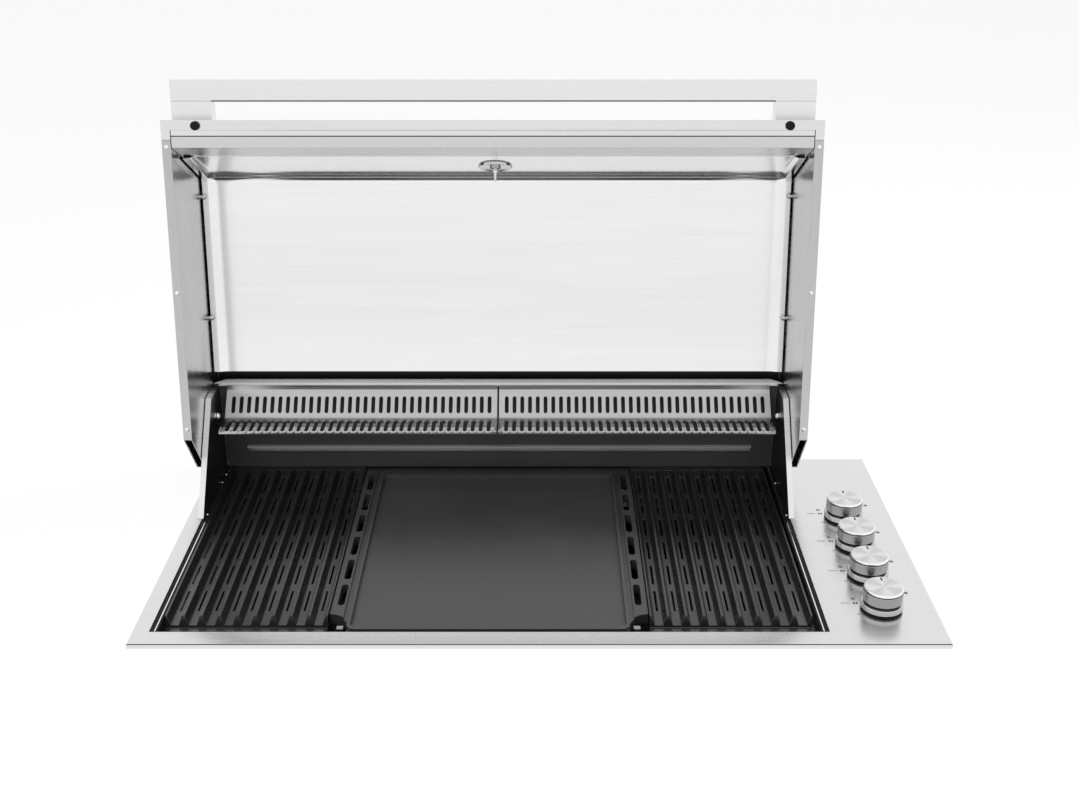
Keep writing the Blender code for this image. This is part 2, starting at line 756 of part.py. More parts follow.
def make_hotplate(left):
    """A solid pan: a raised rim with a groove round it, between two slotted rails."""
    right = left + HOTPLATE_WIDTH
    front = PLATES_FRONT
    rear = front + PLATES_DEPTH
    top = PLATES_TOP - PAN_RIM_RISE
    floor = top - PAN_SINK
    reach = HOTPLATE_RAIL + PAN_GROOVE
    rim_left, rim_right = left + reach, right - reach
    notch = front + RAIL_NOTCH
    outline = [(right, rear), (left, rear)]
    outline += arc_points((left, notch), reach, 90, 0, NOTCH_STEPS)
    outline += [(rim_left, front), (rim_right, front)]
    outline += arc_points((right, notch), reach, 180, 90, NOTCH_STEPS)
    step = (PLATES_DEPTH - RAIL_SLOTS_FRONT - RAIL_SLOTS_REAR) / (RAIL_SLOTS - 1 + RAIL_SLOT_SHARE)
    slots = []
    for x in (left + RAIL_SLOT_INSET, right - RAIL_SLOT_INSET - RAIL_SLOT_WIDTH):
        for index in range(RAIL_SLOTS):
            y = front + RAIL_SLOTS_FRONT + step * index
            slots.append(rounded_rectangle(
                x, x + RAIL_SLOT_WIDTH, y, y + step * RAIL_SLOT_SHARE, RAIL_SLOT_ROUND, 1))
    lift = empty("hotplate_lift", (0, 0, 0))
    body = outline_mesh("hotplate", [outline] + slots, PLATES_BOTTOM, top)
    plate = add("hotplate", body, CAST_IRON, parent=lift)
    rim_rear = rear - PAN_REAR_FLANGE
    groove = box_mesh("groove", (
        (left + HOTPLATE_RAIL, front - OVERRUN, top - PAN_GROOVE_DEPTH),
        (right - HOTPLATE_RAIL, rim_rear + PAN_GROOVE_REAR, top + OVERRUN)))
    cut(plate, groove)
    unite(plate, outline_mesh("pan_rim", [
        rounded_rectangle(rim_left + FIT, rim_right - FIT, front + FIT, rim_rear, PAN_CORNER)],
        floor - FIT, PLATES_TOP))
    cut(plate, outline_mesh("pan", [rounded_rectangle(
        rim_left + PAN_RIM, rim_right - PAN_RIM, front + PAN_RIM_FRONT, rim_rear - PAN_RIM_REAR,
        PAN_CORNER - PAN_RIM)], floor, PLATES_TOP + OVERRUN))


def make_plates():
    left = APERTURE_LEFT + PLATES_LEFT_GAP
    make_grill("grill_left", left, -1, CAST_IRON)
    make_hotplate(left + GRILL_WIDTH + PLATES_SPACING)
    make_grill("grill_right", left + PLATES_SPAN - GRILL_WIDTH, 1, CAST_IRON)


def make_knobs():
    """Each knob turns with its stem and plug, and pushes down with its stem only."""
    for number, site in enumerate(knob_sites(), 1):
        axis = empty(f"knob_axis_{number}", site)
        make_knob(number, axis)
        make_stem(number, axis)
        make_plug(number, axis)
        make_valve(number, site)


def make_knob(number, axis):
    barrel_top = KNOB_HEIGHT - KNOB_CAP
    barrel_low = BEZEL_HEIGHT + KNOB_GROOVE
    skirt_low = BEZEL_HEIGHT - KNOB_SKIRT_DROP
    socket_top = barrel_top - KNOB_WALL
    bore = STEM_RADIUS + FIT
    profile = [
        (0, KNOB_HEIGHT), (KNOB_RADIUS - KNOB_BEVEL, KNOB_HEIGHT), (KNOB_RADIUS, KNOB_HEIGHT - KNOB_BEVEL),
        (KNOB_RADIUS, barrel_top), (KNOB_RADIUS - KNOB_LINE, barrel_top),
        (KNOB_RADIUS - KNOB_LINE, barrel_top - KNOB_LINE), (BARREL_RADIUS, barrel_top - KNOB_LINE),
        (BARREL_RADIUS, barrel_low), (KNOB_SKIRT, barrel_low), (KNOB_SKIRT, skirt_low),
        (KNOB_SKIRT - KNOB_WALL, skirt_low), (KNOB_SKIRT - KNOB_WALL, socket_top),
        (KNOB_HUB, socket_top), (KNOB_HUB, skirt_low), (bore, skirt_low), (bore, socket_top), (0, socket_top),
    ]
    smooth(add(f"knob_{number}", turned_mesh(f"knob_{number}", profile, ROUND_SIDES), STAINLESS, parent=axis))


def make_stem(number, axis):
    top = KNOB_HEIGHT - KNOB_CAP - KNOB_WALL - FIT
    low = -(BORE_FLOOR - PLUG_FLOOR - FIT) + PUSH_TRAVEL + RUNNING_FIT
    profile = [(0, top), (STEM_RADIUS, top), (STEM_RADIUS, low), (0, low)]
    smooth(add(f"stem_{number}", turned_mesh(f"stem_{number}", profile, SMALL_SIDES), BRIGHT_STEEL, parent=axis))


def make_plug(number, axis):
    """The turning plug of the valve, with a socket that the stem slides in."""
    top = -NECK_TOP
    low = -BORE_FLOOR + FIT
    bore = PLUG_RADIUS - PLUG_WALL
    profile = [
        (0, low + PLUG_FLOOR), (bore, low + PLUG_FLOOR), (bore, top), (PLUG_RADIUS, top), (PLUG_RADIUS, low), (0, low),
    ]
    plug = turned_mesh(f"valve_plug_{number}", profile, SMALL_SIDES)
    smooth(add(f"valve_plug_{number}", plug, BRASS, parent=axis))


def make_valve(number, site):
    half = VALVE_WIDTH / 2
    valve = add(f"valve_body_{number}", box_mesh("valve", (
        (site.x - half, site.y - half, DECK - VALVE_BOTTOM), (site.x + half, site.y + half, DECK - VALVE_TOP))), BRASS)
    down = Vector((0, 0, 1))
    neck = rod_mesh("neck", VALVE_NECK, SMALL_SIDES, (
        site - down * (VALVE_TOP + OVERRUN), site - down * NECK_TOP))
    port_start = site + Vector((OVERRUN - half, 0, -VALVE_PORT_DROP))
    port_end = site + Vector((-half - VALVE_PORT_LENGTH, 0, -VALVE_PORT_DROP))
    port = rod_mesh("port", VALVE_PORT_RADIUS, SMALL_SIDES // 2, (port_start, port_end))
    unite(valve, neck, port)
    cut(valve, rod_mesh("bore", PLUG_RADIUS + RUNNING_FIT, SMALL_SIDES, (site - down * BORE_FLOOR, site)))


def make_bezels():
    """Fixed rings on the plate that the knobs stand in."""
    inner = KNOB_SKIRT + (BEZEL_RADIUS - KNOB_SKIRT) * BEZEL_BORE_SHARE
    profile = [
        (inner, BEZEL_HEIGHT), (BEZEL_RADIUS - BEZEL_BEVEL, BEZEL_HEIGHT), (BEZEL_RADIUS, BEZEL_HEIGHT - BEZEL_BEVEL),
        (BEZEL_RADIUS, FIT), (inner, FIT),
    ]
    ring = turned_mesh("bezel", profile, ROUND_SIDES, closed=True)
    for number, site in enumerate(knob_sites(), 1):
        smooth(add(f"knob_bezel_{number}", ring.copy(), STAINLESS, site))


def housing_bounds():
    left = BOX_RIGHT + ENAMEL_SHEET + HOUSING_SIDE_GAP
    right = PLATE_RIGHT - RIM_RETURN - HOUSING_SIDE_GAP
    front = FRONT + RIM_RETURN + FIT
    rear = REAR - RIM_RETURN - FIT
    return left, right, front, rear


def make_control_housing():
    left, right, front, rear = housing_bounds()
    top = BOX_TOP - ENAMEL_SHEET - FIT
    floor = DECK - HOUSING_DEPTH
    housing = add("control_housing", box_mesh("housing", ((left, front, floor), (right, rear, top))), DULL_STEEL)
    inside = box_mesh("inside", (
        (left + SHEET, front + SHEET, floor + SHEET), (right - SHEET, rear - SHEET, top + OVERRUN)))
    notch = box_mesh("notch", (
        (left - OVERRUN, front + SHEET * 2, floor + SHEET * 2),
        (left + SHEET + OVERRUN, BOX_FRONT - ENAMEL_SHEET, DECK - TUBE_LEVEL_DROP + TUBE_BEND)))
    inlet_z = DECK - VALVE_BOTTOM - FIT - MANIFOLD_SIZE / 2
    inlet = rod_mesh("inlet", INLET_RADIUS + FIT, SMALL_SIDES, (
        (KNOB_X, rear - OVERRUN, inlet_z), (KNOB_X, rear + OVERRUN, inlet_z)))
    cut(housing, inside, notch, inlet)


def make_manifold():
    left, right, front, rear = housing_bounds()
    half = MANIFOLD_SIZE / 2
    top = DECK - VALVE_BOTTOM - FIT
    low = top - MANIFOLD_SIZE
    back = rear - SHEET - FIT
    manifold = add("manifold", box_mesh("manifold", (
        (KNOB_X - half, FRONT + MANIFOLD_FRONT, low), (KNOB_X + half, back, top))), DULL_STEEL)
    feet = []
    floor = DECK - HOUSING_DEPTH + SHEET + FIT
    for y in (FRONT + MANIFOLD_FRONT, back - MANIFOLD_FOOT):
        feet.append(((KNOB_X - half, y, floor), (KNOB_X + half, y + MANIFOLD_FOOT, low + FIT)))
    inlet = rod_mesh("inlet", INLET_RADIUS, SMALL_SIDES, (
        (KNOB_X, back - OVERRUN, low + half), (KNOB_X, REAR - INLET_TAIL, low + half)))
    unite(manifold, box_mesh("feet", *feet), inlet)


def rounded_route(corners, radius, steps):
    """The route through corners, with each corner rounded by short straight steps."""
    points = [corners[0]]
    for before, corner, after in zip(corners, corners[1:], corners[2:]):
        start = corner + (before - corner).normalized() * radius
        end = corner + (after - corner).normalized() * radius
        for index in range(steps + 1):
            share = index / steps
            low = start.lerp(corner, share)
            points.append(low.lerp(corner.lerp(end, share), share))
    points.append(corners[-1])
    return points


def make_feed_tubes():
    """From each valve's port to a burner: the front valve feeds the leftmost burner."""
    run_x = KNOB_X - VALVE_WIDTH / 2 - VALVE_PORT_LENGTH - TUBE_SIDE_GAP
    run_y = FRONT + TUBE_FRONT_BACK
    neck_z = DECK - BURNER_DROP
    for index, (site, burner_x) in enumerate(zip(knob_sites(), burner_xs())):
        level = DECK - TUBE_LEVEL_DROP - TUBE_LEVEL_STEP * index
        port_x = site.x - VALVE_WIDTH / 2 - VALVE_PORT_LENGTH - FIT
        port_z = DECK - VALVE_PORT_DROP
        corners = [
            Vector((port_x, site.y, port_z)), Vector((run_x, site.y, port_z)), Vector((run_x, site.y, level)),
            Vector((run_x, run_y, level)), Vector((burner_x, run_y, level)), Vector((burner_x, run_y, neck_z)),
            Vector((burner_x, BOX_FRONT + TUBE_END, neck_z)),
        ]
        smooth(add(f"feed_tube_{index + 1}", tube_mesh("tube", tube_route(corners), TUBE_RADIUS), DULL_STEEL))


def tube_route(corners):
    shortest = min((b - a).length for a, b in zip(corners, corners[1:]))
    return rounded_route(corners, min(TUBE_BEND, shortest * TUBE_BEND_SHARE), TUBE_BEND_STEPS)


def make_wings():
    """Folded cheeks beside the hood's pivot, each with a black sheet inside."""
    outline = [
        (FRONT + WING_FOOT, DECK + FIT), (FRONT + WING_TOP, DECK + WING_HEIGHT),
        (WALL_Y - FIT, DECK + WING_HEIGHT), (WALL_Y - FIT, DECK + FIT),
    ]
    walls = [WING_THICK, WING_THICK, 0, 0]
    inset = SHEET + FIT
    slope = math.atan2(WING_HEIGHT - FIT, WING_TOP - WING_FOOT)
    shift = inset / math.sin(slope)
    base = BOX_TOP + FIT
    drop = (DECK + FIT - base) / math.tan(slope)
    liner_top = DECK + WING_HEIGHT - inset
    liner = [
        (FRONT + WING_FOOT + shift - drop, base),
        (FRONT + WING_TOP + shift - inset / math.tan(slope), liner_top),
        (WALL_Y - FIT, liner_top), (WALL_Y - FIT, base),
    ]
    for side, edge, sign in (("left", WING_LEFT, 1), ("right", WING_RIGHT, -1)):
        bm = pan_mesh("wing", outline, walls, edge, sign, "YZ")
        mesh = bpy.data.meshes.new(f"wing_{side}")
        bm.to_mesh(mesh)
        bm.free()
        wing = solidify(add(f"wing_{side}", mesh, STAINLESS), SHEET)
        inner = edge + sign * WING_THICK
        low, high = sorted((inner - sign * SHEET, inner))
        sheet = add(f"wing_liner_{side}", outline_mesh("liner", [liner], low, high, "YZ"), ENAMEL)
        bolt = rod_mesh("bolt", PIVOT_BOLT_RADIUS + FIT, SMALL_SIDES, (
            (edge - sign * OVERRUN, PIVOT.y, PIVOT.z), (inner + sign * OVERRUN, PIVOT.y, PIVOT.z)))
        foot = box_mesh("foot", (
            (min(edge, inner) - OVERRUN, FRONT, 0), (max(edge, inner) + OVERRUN, WALL_Y, DECK + FIT)))
        cut(wing, bolt, foot)
        top, rear = rack_seat()
        tab_end = COOK_X - sign * (RACK_SPAN / 2 - BRACKET_END_MARGIN)
        xs = sorted((inner - sign * SHEET / 2, tab_end))
        unite(sheet, box_mesh("tab", ((xs[0], rear - BRACKET_DEPTH, top - BRACKET_THICK), (xs[1], rear, top))))
        cut(sheet, bolt.copy())


def make_back_panel():
    """The stainless rear cover, with the rail along its top."""
    left = WING_LEFT
    right = WING_RIGHT
    rear = WALL_Y + RAIL_DEPTH
    start = rear - RAIL_CHAMFER
    outline = [
        (left, WALL_Y), (right, WALL_Y), (right, start), (right - RAIL_CHAMFER, rear),
        (left + RAIL_CHAMFER, rear), (left, start),
    ]
    height = WING_HEIGHT - FIT
    bm = pan_mesh("back", outline, [RAIL_LIP] + [height] * 5, DECK + WING_HEIGHT, -1, "XY")
    mesh = bpy.data.meshes.new("back_panel")
    bm.to_mesh(mesh)
    bm.free()
    solidify(add("back_panel", mesh, STAINLESS), SHEET)


def liner_plane():
    """Front and rear faces of the black sheet behind the plates."""
    front = WALL_Y + LINER_SETBACK
    return front, front + SHEET


def make_back_liner():
    """The black sheet behind the plates, with a louvre under its flue and a tab for the racks."""
    front, rear = liner_plane()
    left = WING_LEFT + WING_THICK + FIT
    right = WING_RIGHT - WING_THICK - FIT
    liner = add("back_liner", box_mesh("back_liner", (
        (left, front, BOX_TOP + FIT), (right, rear, DECK + WING_HEIGHT - SHEET - FIT))), ENAMEL)
    flue_left, flue_right = COOK_X - FLUE_WIDTH / 2, COOK_X + FLUE_WIDTH / 2
    flue_low = DECK + FLUE_TOP - FLUE_HEIGHT
    cut(liner, box_mesh("flue", (
        (flue_left, front - OVERRUN, flue_low), (flue_right, rear + OVERRUN, DECK + FLUE_TOP))))
    lip = box_mesh("flue_lip", (
        (flue_left, front - FLUE_LIP, DECK + FLUE_TOP), (flue_right, front + SHEET / 2, DECK + FLUE_TOP + SHEET)))
    top, seat_rear = rack_seat()
    tab = box_mesh("tab", (
        (COOK_X - BRACKET_WIDTH / 2, seat_rear - BRACKET_DEPTH, top - BRACKET_THICK),
        (COOK_X + BRACKET_WIDTH / 2, front + SHEET / 2, top)))
    unite(liner, lip, tab)


def make_pivot_bolts():
    """A bolt through each wing, held by a nut inside the hood's side."""
    shank = HOOD_SIDE_GAP + WING_THICK + FIT + SHEET + 2 * FIT
    profile = [
        (0, PIVOT_HEAD_THICK), (PIVOT_HEAD_RADIUS, PIVOT_HEAD_THICK), (PIVOT_HEAD_RADIUS, 0),
        (PIVOT_BOLT_RADIUS, 0), (PIVOT_BOLT_RADIUS, -shank), (PIVOT_HEAD_RADIUS, -shank),
        (PIVOT_HEAD_RADIUS, -shank - PIVOT_NUT_THICK), (0, -shank - PIVOT_NUT_THICK),
    ]
    for side, edge, sign in (("left", WING_LEFT, 1), ("right", WING_RIGHT, -1)):
        bolt = turned_mesh("bolt", profile, SMALL_SIDES)
        head = edge + sign * (WING_THICK + FIT)
        bolt.transform(Matrix.Translation((head, PIVOT.y, PIVOT.z)) @ Matrix.Rotation(sign * math.pi / 2, 4, "Y"))
        smooth(add(f"pivot_bolt_{side}", bolt, BRIGHT_STEEL))


def rack_path():
    """Top surface of a rack from the front lip to the crest, in Y and Z."""
    front = FRONT + RACK_FRONT
    shelf = DECK + RACK_HEIGHT
    steps = (
        (0, -RACK_LIP), (0, RACK_LIP), (RACK_SHELF, 0), (RACK_SLOPE_DEPTH, RACK_SLOPE_RISE),
        (RACK_NECK_DEPTH, RACK_NECK_RISE), (0, RACK_CREST),
    )
    y, z = front, shelf
    path = []
    for forward, up in steps:
        y += forward
        z += up
        path.append((y, z))
    return path


def make_racks():
    path = rack_path()
    shelf_front = path[1]
    shelf_rear = path[2]
    slope_top = path[3]
    length = (RACK_SPAN - RACK_SPACING) / 2
    for side, left in (("left", COOK_X - RACK_SPAN / 2), ("right", COOK_X + RACK_SPACING / 2)):
        lift = empty(f"warming_rack_{side}_lift", (0, 0, 0))
        mesh = outline_mesh("rack", [folded_strip(path, SHEET)], left, left + length, "YZ")
        rack = add(f"warming_rack_{side}", mesh, STAINLESS, parent=lift)
        pitch = (length - 2 * RACK_END_MARGIN) / RACK_SLOTS
        slots = []
        for index in range(RACK_SLOTS):
            x = left + RACK_END_MARGIN + pitch * (index + 1 / 2)
            low_x, high_x = x - RACK_SLOT_WIDTH / 2, x + RACK_SLOT_WIDTH / 2
            slots.append((
                (low_x, shelf_front[0] + SHELF_SLOT_FRONT, shelf_front[1] - OVERRUN),
                (high_x, shelf_rear[0] - SHELF_SLOT_REAR, shelf_front[1] + OVERRUN)))
            slots.append((
                (low_x, shelf_rear[0] + SLOPE_SLOT_MARGIN, shelf_rear[1] - OVERRUN),
                (high_x, slope_top[0] - SLOPE_SLOT_TOP, slope_top[1] + OVERRUN)))
        cut(rack, box_mesh("slots", *slots))


def rack_seat():
    """Height of the tabs that carry the racks, and where they end at the back."""
    path = rack_path()
    return path[1][1] - SHEET - FIT, path[2][0] - SHEET


def hood_yz(back, up):
    """A point of the closed hood, in the axes of its pivot."""
    return back - PIVOT_BACK, up + HOOD_LIFT - PIVOT_RISE


def hood_front(up, inset=0):
    """How far back the front wall is at a height."""
    return up * math.tan(HOOD_LEAN) + inset / math.cos(HOOD_LEAN)


def hood_path(inset, low, steps=HOOD_CURVE_STEPS):
    """Front wall, curve and top of the hood as (back, up), moved inwards by inset."""
    radius = HOOD_CURVE - inset
    centre_up = HOOD_HEIGHT - HOOD_CURVE
    centre_back = (HOOD_CURVE + centre_up * math.sin(HOOD_LEAN)) / math.cos(HOOD_LEAN)
    curve = arc_points((centre_back, centre_up), radius, 180 - HOOD_LEAN_DEG, 90, steps)
    return [(hood_front(low, inset), low)] + curve + [(HOOD_DEPTH, HOOD_HEIGHT - inset)]


def hood_x():
    """Outer left and right of the hood, from its middle."""
    return -HOOD_WIDTH / 2, HOOD_WIDTH / 2


def make_hood_shell(pivot):
    left, right = hood_x()
    low = SHEET * (1 + math.sin(HOOD_LEAN)) + FIT
    outline = folded_strip([hood_yz(*point) for point in hood_path(0, low)], SHEET)
    shell = add("hood_shell", outline_mesh("hood_shell", [outline], left, right, "YZ"), STAINLESS, parent=pivot)
    cut(shell, gauge_drill(GAUGE_STEM + FIT))
    smooth(shell)


def make_hood_sides(pivot):
    """Hollow side panels: folded boxes that are open along the rear chamfer."""
    inset = SHEET + FIT
    outline = hood_path(inset, inset)
    outline += [
        (HOOD_DEPTH, HOOD_REAR_RISE), (HOOD_DEPTH - HOOD_REAR_CHAMFER, 0),
        (LIP_LEG + FIT, 0), (LIP_LEG + FIT, inset),
    ]
    outline = [hood_yz(*point) for point in outline]
    chamfer = len(outline) - 4
    left, right = hood_x()
    for side, edge, sign in (("left", left, 1), ("right", right, -1)):
        walls = [SIDE_THICK] * len(outline)
        walls[chamfer] = 0
        bm = pan_mesh("side", outline, walls, edge, sign, "YZ")
        rim = [vert for vert in bm.verts if abs(vert.co.x - edge - sign * SIDE_THICK) < WELD]
        inner = edge + sign * SIDE_THICK
        close_side(bm, outline, inner, rim)
        mesh = bpy.data.meshes.new(f"hood_side_{side}")
        bm.to_mesh(mesh)
        bm.free()
        panel = solidify(add(f"hood_side_{side}", mesh, STAINLESS, parent=pivot), SHEET)
        cut(panel, rod_mesh("pivot", PIVOT_BOLT_RADIUS + RUNNING_FIT, SMALL_SIDES, (
            (inner - sign * (SHEET + FIT), 0, 0), (inner + sign * OVERRUN, 0, 0))))


def close_side(bm, outline, inner, rim):
    """Adds the inner skin of a side panel on the vertices of its walls."""
    ordered = []
    for a, b in outline:
        ordered.append(min(rim, key=lambda vert: (vert.co - Vector((inner, a, b))).length))
    bm.faces.new(ordered)
    bmesh.ops.recalc_face_normals(bm, faces=bm.faces)


def make_hood_lip(pivot):
    """The flat lip under the front wall, with legs along the sides, and the folds behind it."""
    left, right = hood_x()
    y0, z0 = hood_yz(0, 0)
    inner_left, inner_right = left + SIDE_THICK, right - SIDE_THICK
    lip_y, leg_y = y0 + LIP_WIDTH, y0 + LIP_LEG
    outline = [
        (left, y0), (right, y0), (right, leg_y), (inner_right, leg_y), (inner_right, lip_y),
        (inner_left, lip_y), (inner_left, leg_y), (left, leg_y),
    ]
    lip = add("hood_lip", outline_mesh("hood_lip", [outline], z0, z0 + SHEET), STAINLESS, parent=pivot)
    steps = (
        (0, LIP_HEM_RISE), (LIP_HEM, 0), (0, FOLD_HEIGHT), (FOLD_WIDTH, 0), (0, CHANNEL_RISE - LIP_HEM_RISE - FOLD_HEIGHT),
        (CHANNEL_FACE, 0), (CHANNEL_REAR_RUN, CHANNEL_REAR_RISE),
    )
    back, up = LIP_WIDTH - SHEET, 0
    path = [hood_yz(back, up)]
    for run, rise in steps:
        back += run
        up += rise
        path.append(hood_yz(back, up))
    folds = outline_mesh("folds", [folded_strip(path, -SHEET)], inner_left + FIT, inner_right - FIT, "YZ")
    unite(lip, folds)


def liner_path():
    """Inner face of the hood's liner as (back, up): front wall, bend, top and rear flange."""
    wall = LINER_WALL_GAP
    bend_up = LINER_TOP - LINER_CURVE
    bend_back = (wall + LINER_CURVE + bend_up * math.sin(HOOD_LEAN)) / math.cos(HOOD_LEAN)
    curve = arc_points((bend_back, bend_up), LINER_CURVE, 180 - HOOD_LEAN_DEG, 90, LINER_CURVE_STEPS)
    foot = (hood_front(LINER_FOOT_RISE, wall), LINER_FOOT_RISE)
    return [foot] + curve + [(LINER_END, LINER_TOP)]


def make_hood_liner(pivot):
    """A pan inside the hood, with flanges along the hood's sides."""
    left, right = hood_x()
    margin = SIDE_THICK + FIT + SHEET
    low, high = left + margin, right - margin
    path = [hood_yz(*point) for point in liner_path()]
    flange = offset_path(path, LINER_FLANGE)
    bm = bmesh.new()
    rows = []
    for (y, z), (flange_y, flange_z) in zip(path, flange):
        rows.append([
            bm.verts.new((low, flange_y, flange_z)), bm.verts.new((low, y, z)),
            bm.verts.new((high, y, z)), bm.verts.new((high, flange_y, flange_z)),
        ])
    for row, following in zip(rows, rows[1:]):
        for column in range(3):
            bm.faces.new((row[column], row[column + 1], following[column + 1], following[column]))
    liner = add("hood_liner", finish_mesh("hood_liner", bm), STAINLESS, parent=pivot)
    solidify(liner, SHEET, outwards=True)
    cut(liner, gauge_drill(GAUGE_STEM + FIT))


def make_handle(pivot):
    """A hollow bar with an end block at each side that runs back to the front wall."""
    half = HANDLE_LENGTH / 2
    front = -HANDLE_GAP - HANDLE_BAR_DEPTH
    back = -HANDLE_GAP
    outline = [
        (-half, front), (half, front), (half, 0), (half - HANDLE_END, 0), (half - HANDLE_END, back),
        (HANDLE_END - half, back), (HANDLE_END - half, 0), (-half, 0),
    ]
    y0, z0 = hood_yz(0, HANDLE_RISE)
    low, high = z0, z0 + HANDLE_BAR_HEIGHT
    bm = bmesh.new()
    rings = []
    for level, up in ((low, HANDLE_RISE), (high, HANDLE_RISE + HANDLE_BAR_HEIGHT - HANDLE_WALL)):
        ring = []
        for x, y in outline:
            if y == 0:
                y = hood_front(up) - FIT / math.cos(HOOD_LEAN)
            ring.append(bm.verts.new((x, y0 + y, level)))
        rings.append(ring)
        bm.faces.new(ring)
    feet = (2, 6)
    for index in range(len(outline)):
        if index not in feet:
            after = (index + 1) % len(outline)
            bm.faces.new((rings[0][index], rings[0][after], rings[1][after], rings[1][index]))
    handle = add("hood_handle", finish_mesh("hood_handle", bm), STAINLESS, parent=pivot)
    solidify(handle, HANDLE_WALL)


def make_bumpers(pivot):
    y, z = hood_yz(BUMPER_BACK, 0)
    low = z - FIT
    for side, x in (("left", BUMPER_INSET - HOOD_WIDTH / 2), ("right", HOOD_WIDTH / 2 - BUMPER_INSET)):
        bumper = rod_mesh("bumper", BUMPER_RADIUS, SMALL_SIDES, ((0, 0, -BUMPER_HEIGHT), (0, 0, 0)))
        smooth(add(f"hood_bumper_{side}", bumper, RUBBER, (x, y, low), pivot))


def gauge_matrix():
    """The gauge's axes in the pivot's: origin on the front wall, +Z straight out of it."""
    y, z = hood_yz(hood_front(GAUGE_RISE), GAUGE_RISE)
    return Matrix.Translation((0, y, z)) @ Matrix.Rotation(math.pi / 2 - HOOD_LEAN, 4, "X")


def gauge_drill(radius):
    drill = rod_mesh("drill", radius, SMALL_SIDES, ((0, 0, -LINER_WALL_GAP - OVERRUN), (0, 0, OVERRUN)))
    drill.transform(gauge_matrix())
    return drill


def make_thermometer(pivot):
    seat = LINER_WALL_GAP
    profile = [
        (0, GAUGE_FLOOR), (GAUGE_RADIUS - GAUGE_WALL, GAUGE_FLOOR), (GAUGE_RADIUS - GAUGE_WALL, GAUGE_HEIGHT),
        (GAUGE_RADIUS, GAUGE_HEIGHT), (GAUGE_RADIUS, FIT), (GAUGE_STEM, FIT),
        (GAUGE_STEM, -seat - GAUGE_SHOULDER), (PROBE_RADIUS, -seat - GAUGE_SHOULDER),
        (PROBE_RADIUS, -seat - PROBE_LENGTH), (0, -seat - PROBE_LENGTH),
    ]
    gauge = turned_mesh("thermometer", profile, ROUND_SIDES)
    gauge.transform(gauge_matrix())
    smooth(add("thermometer", gauge, BRIGHT_STEEL, parent=pivot))
    bore = GAUGE_STEM + FIT
    under = -seat - FIT
    profile = [
        (bore, under), (SEAT_RADIUS, under), (SEAT_RADIUS, under - SEAT_THICK),
        (SEAT_NUT_RADIUS, under - SEAT_THICK), (SEAT_NUT_RADIUS, under - SEAT_THICK - SEAT_NUT_THICK),
        (bore, under - SEAT_THICK - SEAT_NUT_THICK),
    ]
    nut = turned_mesh("thermometer_nut", profile, ROUND_SIDES, closed=True)
    nut.transform(gauge_matrix())
    smooth(add("thermometer_nut", nut, DARK_STEEL, parent=pivot))
    make_needle(pivot)


def make_needle(pivot):
    """The pointer on the dial, on its own axis."""
    matrix = gauge_matrix()
    axis = empty("needle_axis", matrix.translation, pivot, matrix.to_euler())
    low = GAUGE_FLOOR + FIT
    hub = turned_mesh("needle", [
        (0, low + NEEDLE_THICK), (NEEDLE_HUB, low + NEEDLE_THICK), (NEEDLE_HUB, low), (0, low)], SMALL_SIDES)
    needle = add("thermometer_needle", hub, RED_PAINT, parent=axis)
    pointer = outline_mesh("pointer", [[
        (0, -NEEDLE_WIDTH / 2), (NEEDLE_LENGTH, 0), (0, NEEDLE_WIDTH / 2)]], low + FIT, low + NEEDLE_THICK - FIT)
    pointer.transform(Matrix.Rotation(math.radians(NEEDLE_START_DEG), 4, "Z"))
    unite(needle, pointer)


def tray_bounds():
    """Left, right, front and rear of the grease tray, and the height of its runners' shelves."""
    front = (BOX_FRONT + BOX_REAR - TRAY_DEPTH) / 2
    return (COOK_X - TRAY_WIDTH / 2, COOK_X + TRAY_WIDTH / 2, front, front + TRAY_DEPTH,
            BOX_FLOOR - RUNNER_HEIGHT)


def tray_runners():
    """Two angles under the firebox's floor."""
    left, right, front, rear, shelf = tray_bounds()
    angles = []
    for edge, way in ((left, -1), (right, 1)):
        web = edge + way * (TRAY_FLANGE + RUNNING_FIT)
        path = [(web, BOX_FLOOR + ENAMEL_SHEET / 2), (web, shelf), (web - way * RUNNER_SHELF, shelf)]
        angles.append(outline_mesh("angle", [folded_strip(path, -way * SHEET)], -rear, -front, "XZ"))
    return joined_mesh("runners", angles)


def make_grease_tray():
    """A folded tray under the firebox that slides forward on its runners."""
    left, right, front, rear, shelf = tray_bounds()
    top = shelf + FIT + SHEET
    floor = top - TRAY_HEIGHT
    slide = empty("grease_tray_slide", (0, 0, 0))
    tray = add("grease_tray", box_mesh("grease_tray", ((left, front, floor), (right, rear, top))), STAINLESS,
               parent=slide)
    flanges = box_mesh("flanges", (
        (left - TRAY_FLANGE, front, top - SHEET), (right + TRAY_FLANGE, rear, top)))
    lip = box_mesh("lip", ((left, front - TRAY_LIP, floor), (right, front + SHEET, floor + SHEET)))
    unite(tray, flanges, lip)
    cut(tray, box_mesh("tray_inside", (
        (left + SHEET, front + SHEET, floor + SHEET), (right - SHEET, rear - SHEET, top + OVERRUN))))


clear_scene()
PARTS = new_collection("built_in_gas_grill")
TOOLS = new_collection("cutters")

make_top_plate()
make_firebox()
make_plate_rest()
make_burners()
make_flame_tamers()
make_plates()
make_knobs()
make_bezels()
make_control_housing()
make_manifold()
make_feed_tubes()
make_wings()
make_back_panel()
make_back_liner()
make_pivot_bolts()
make_racks()
make_grease_tray()

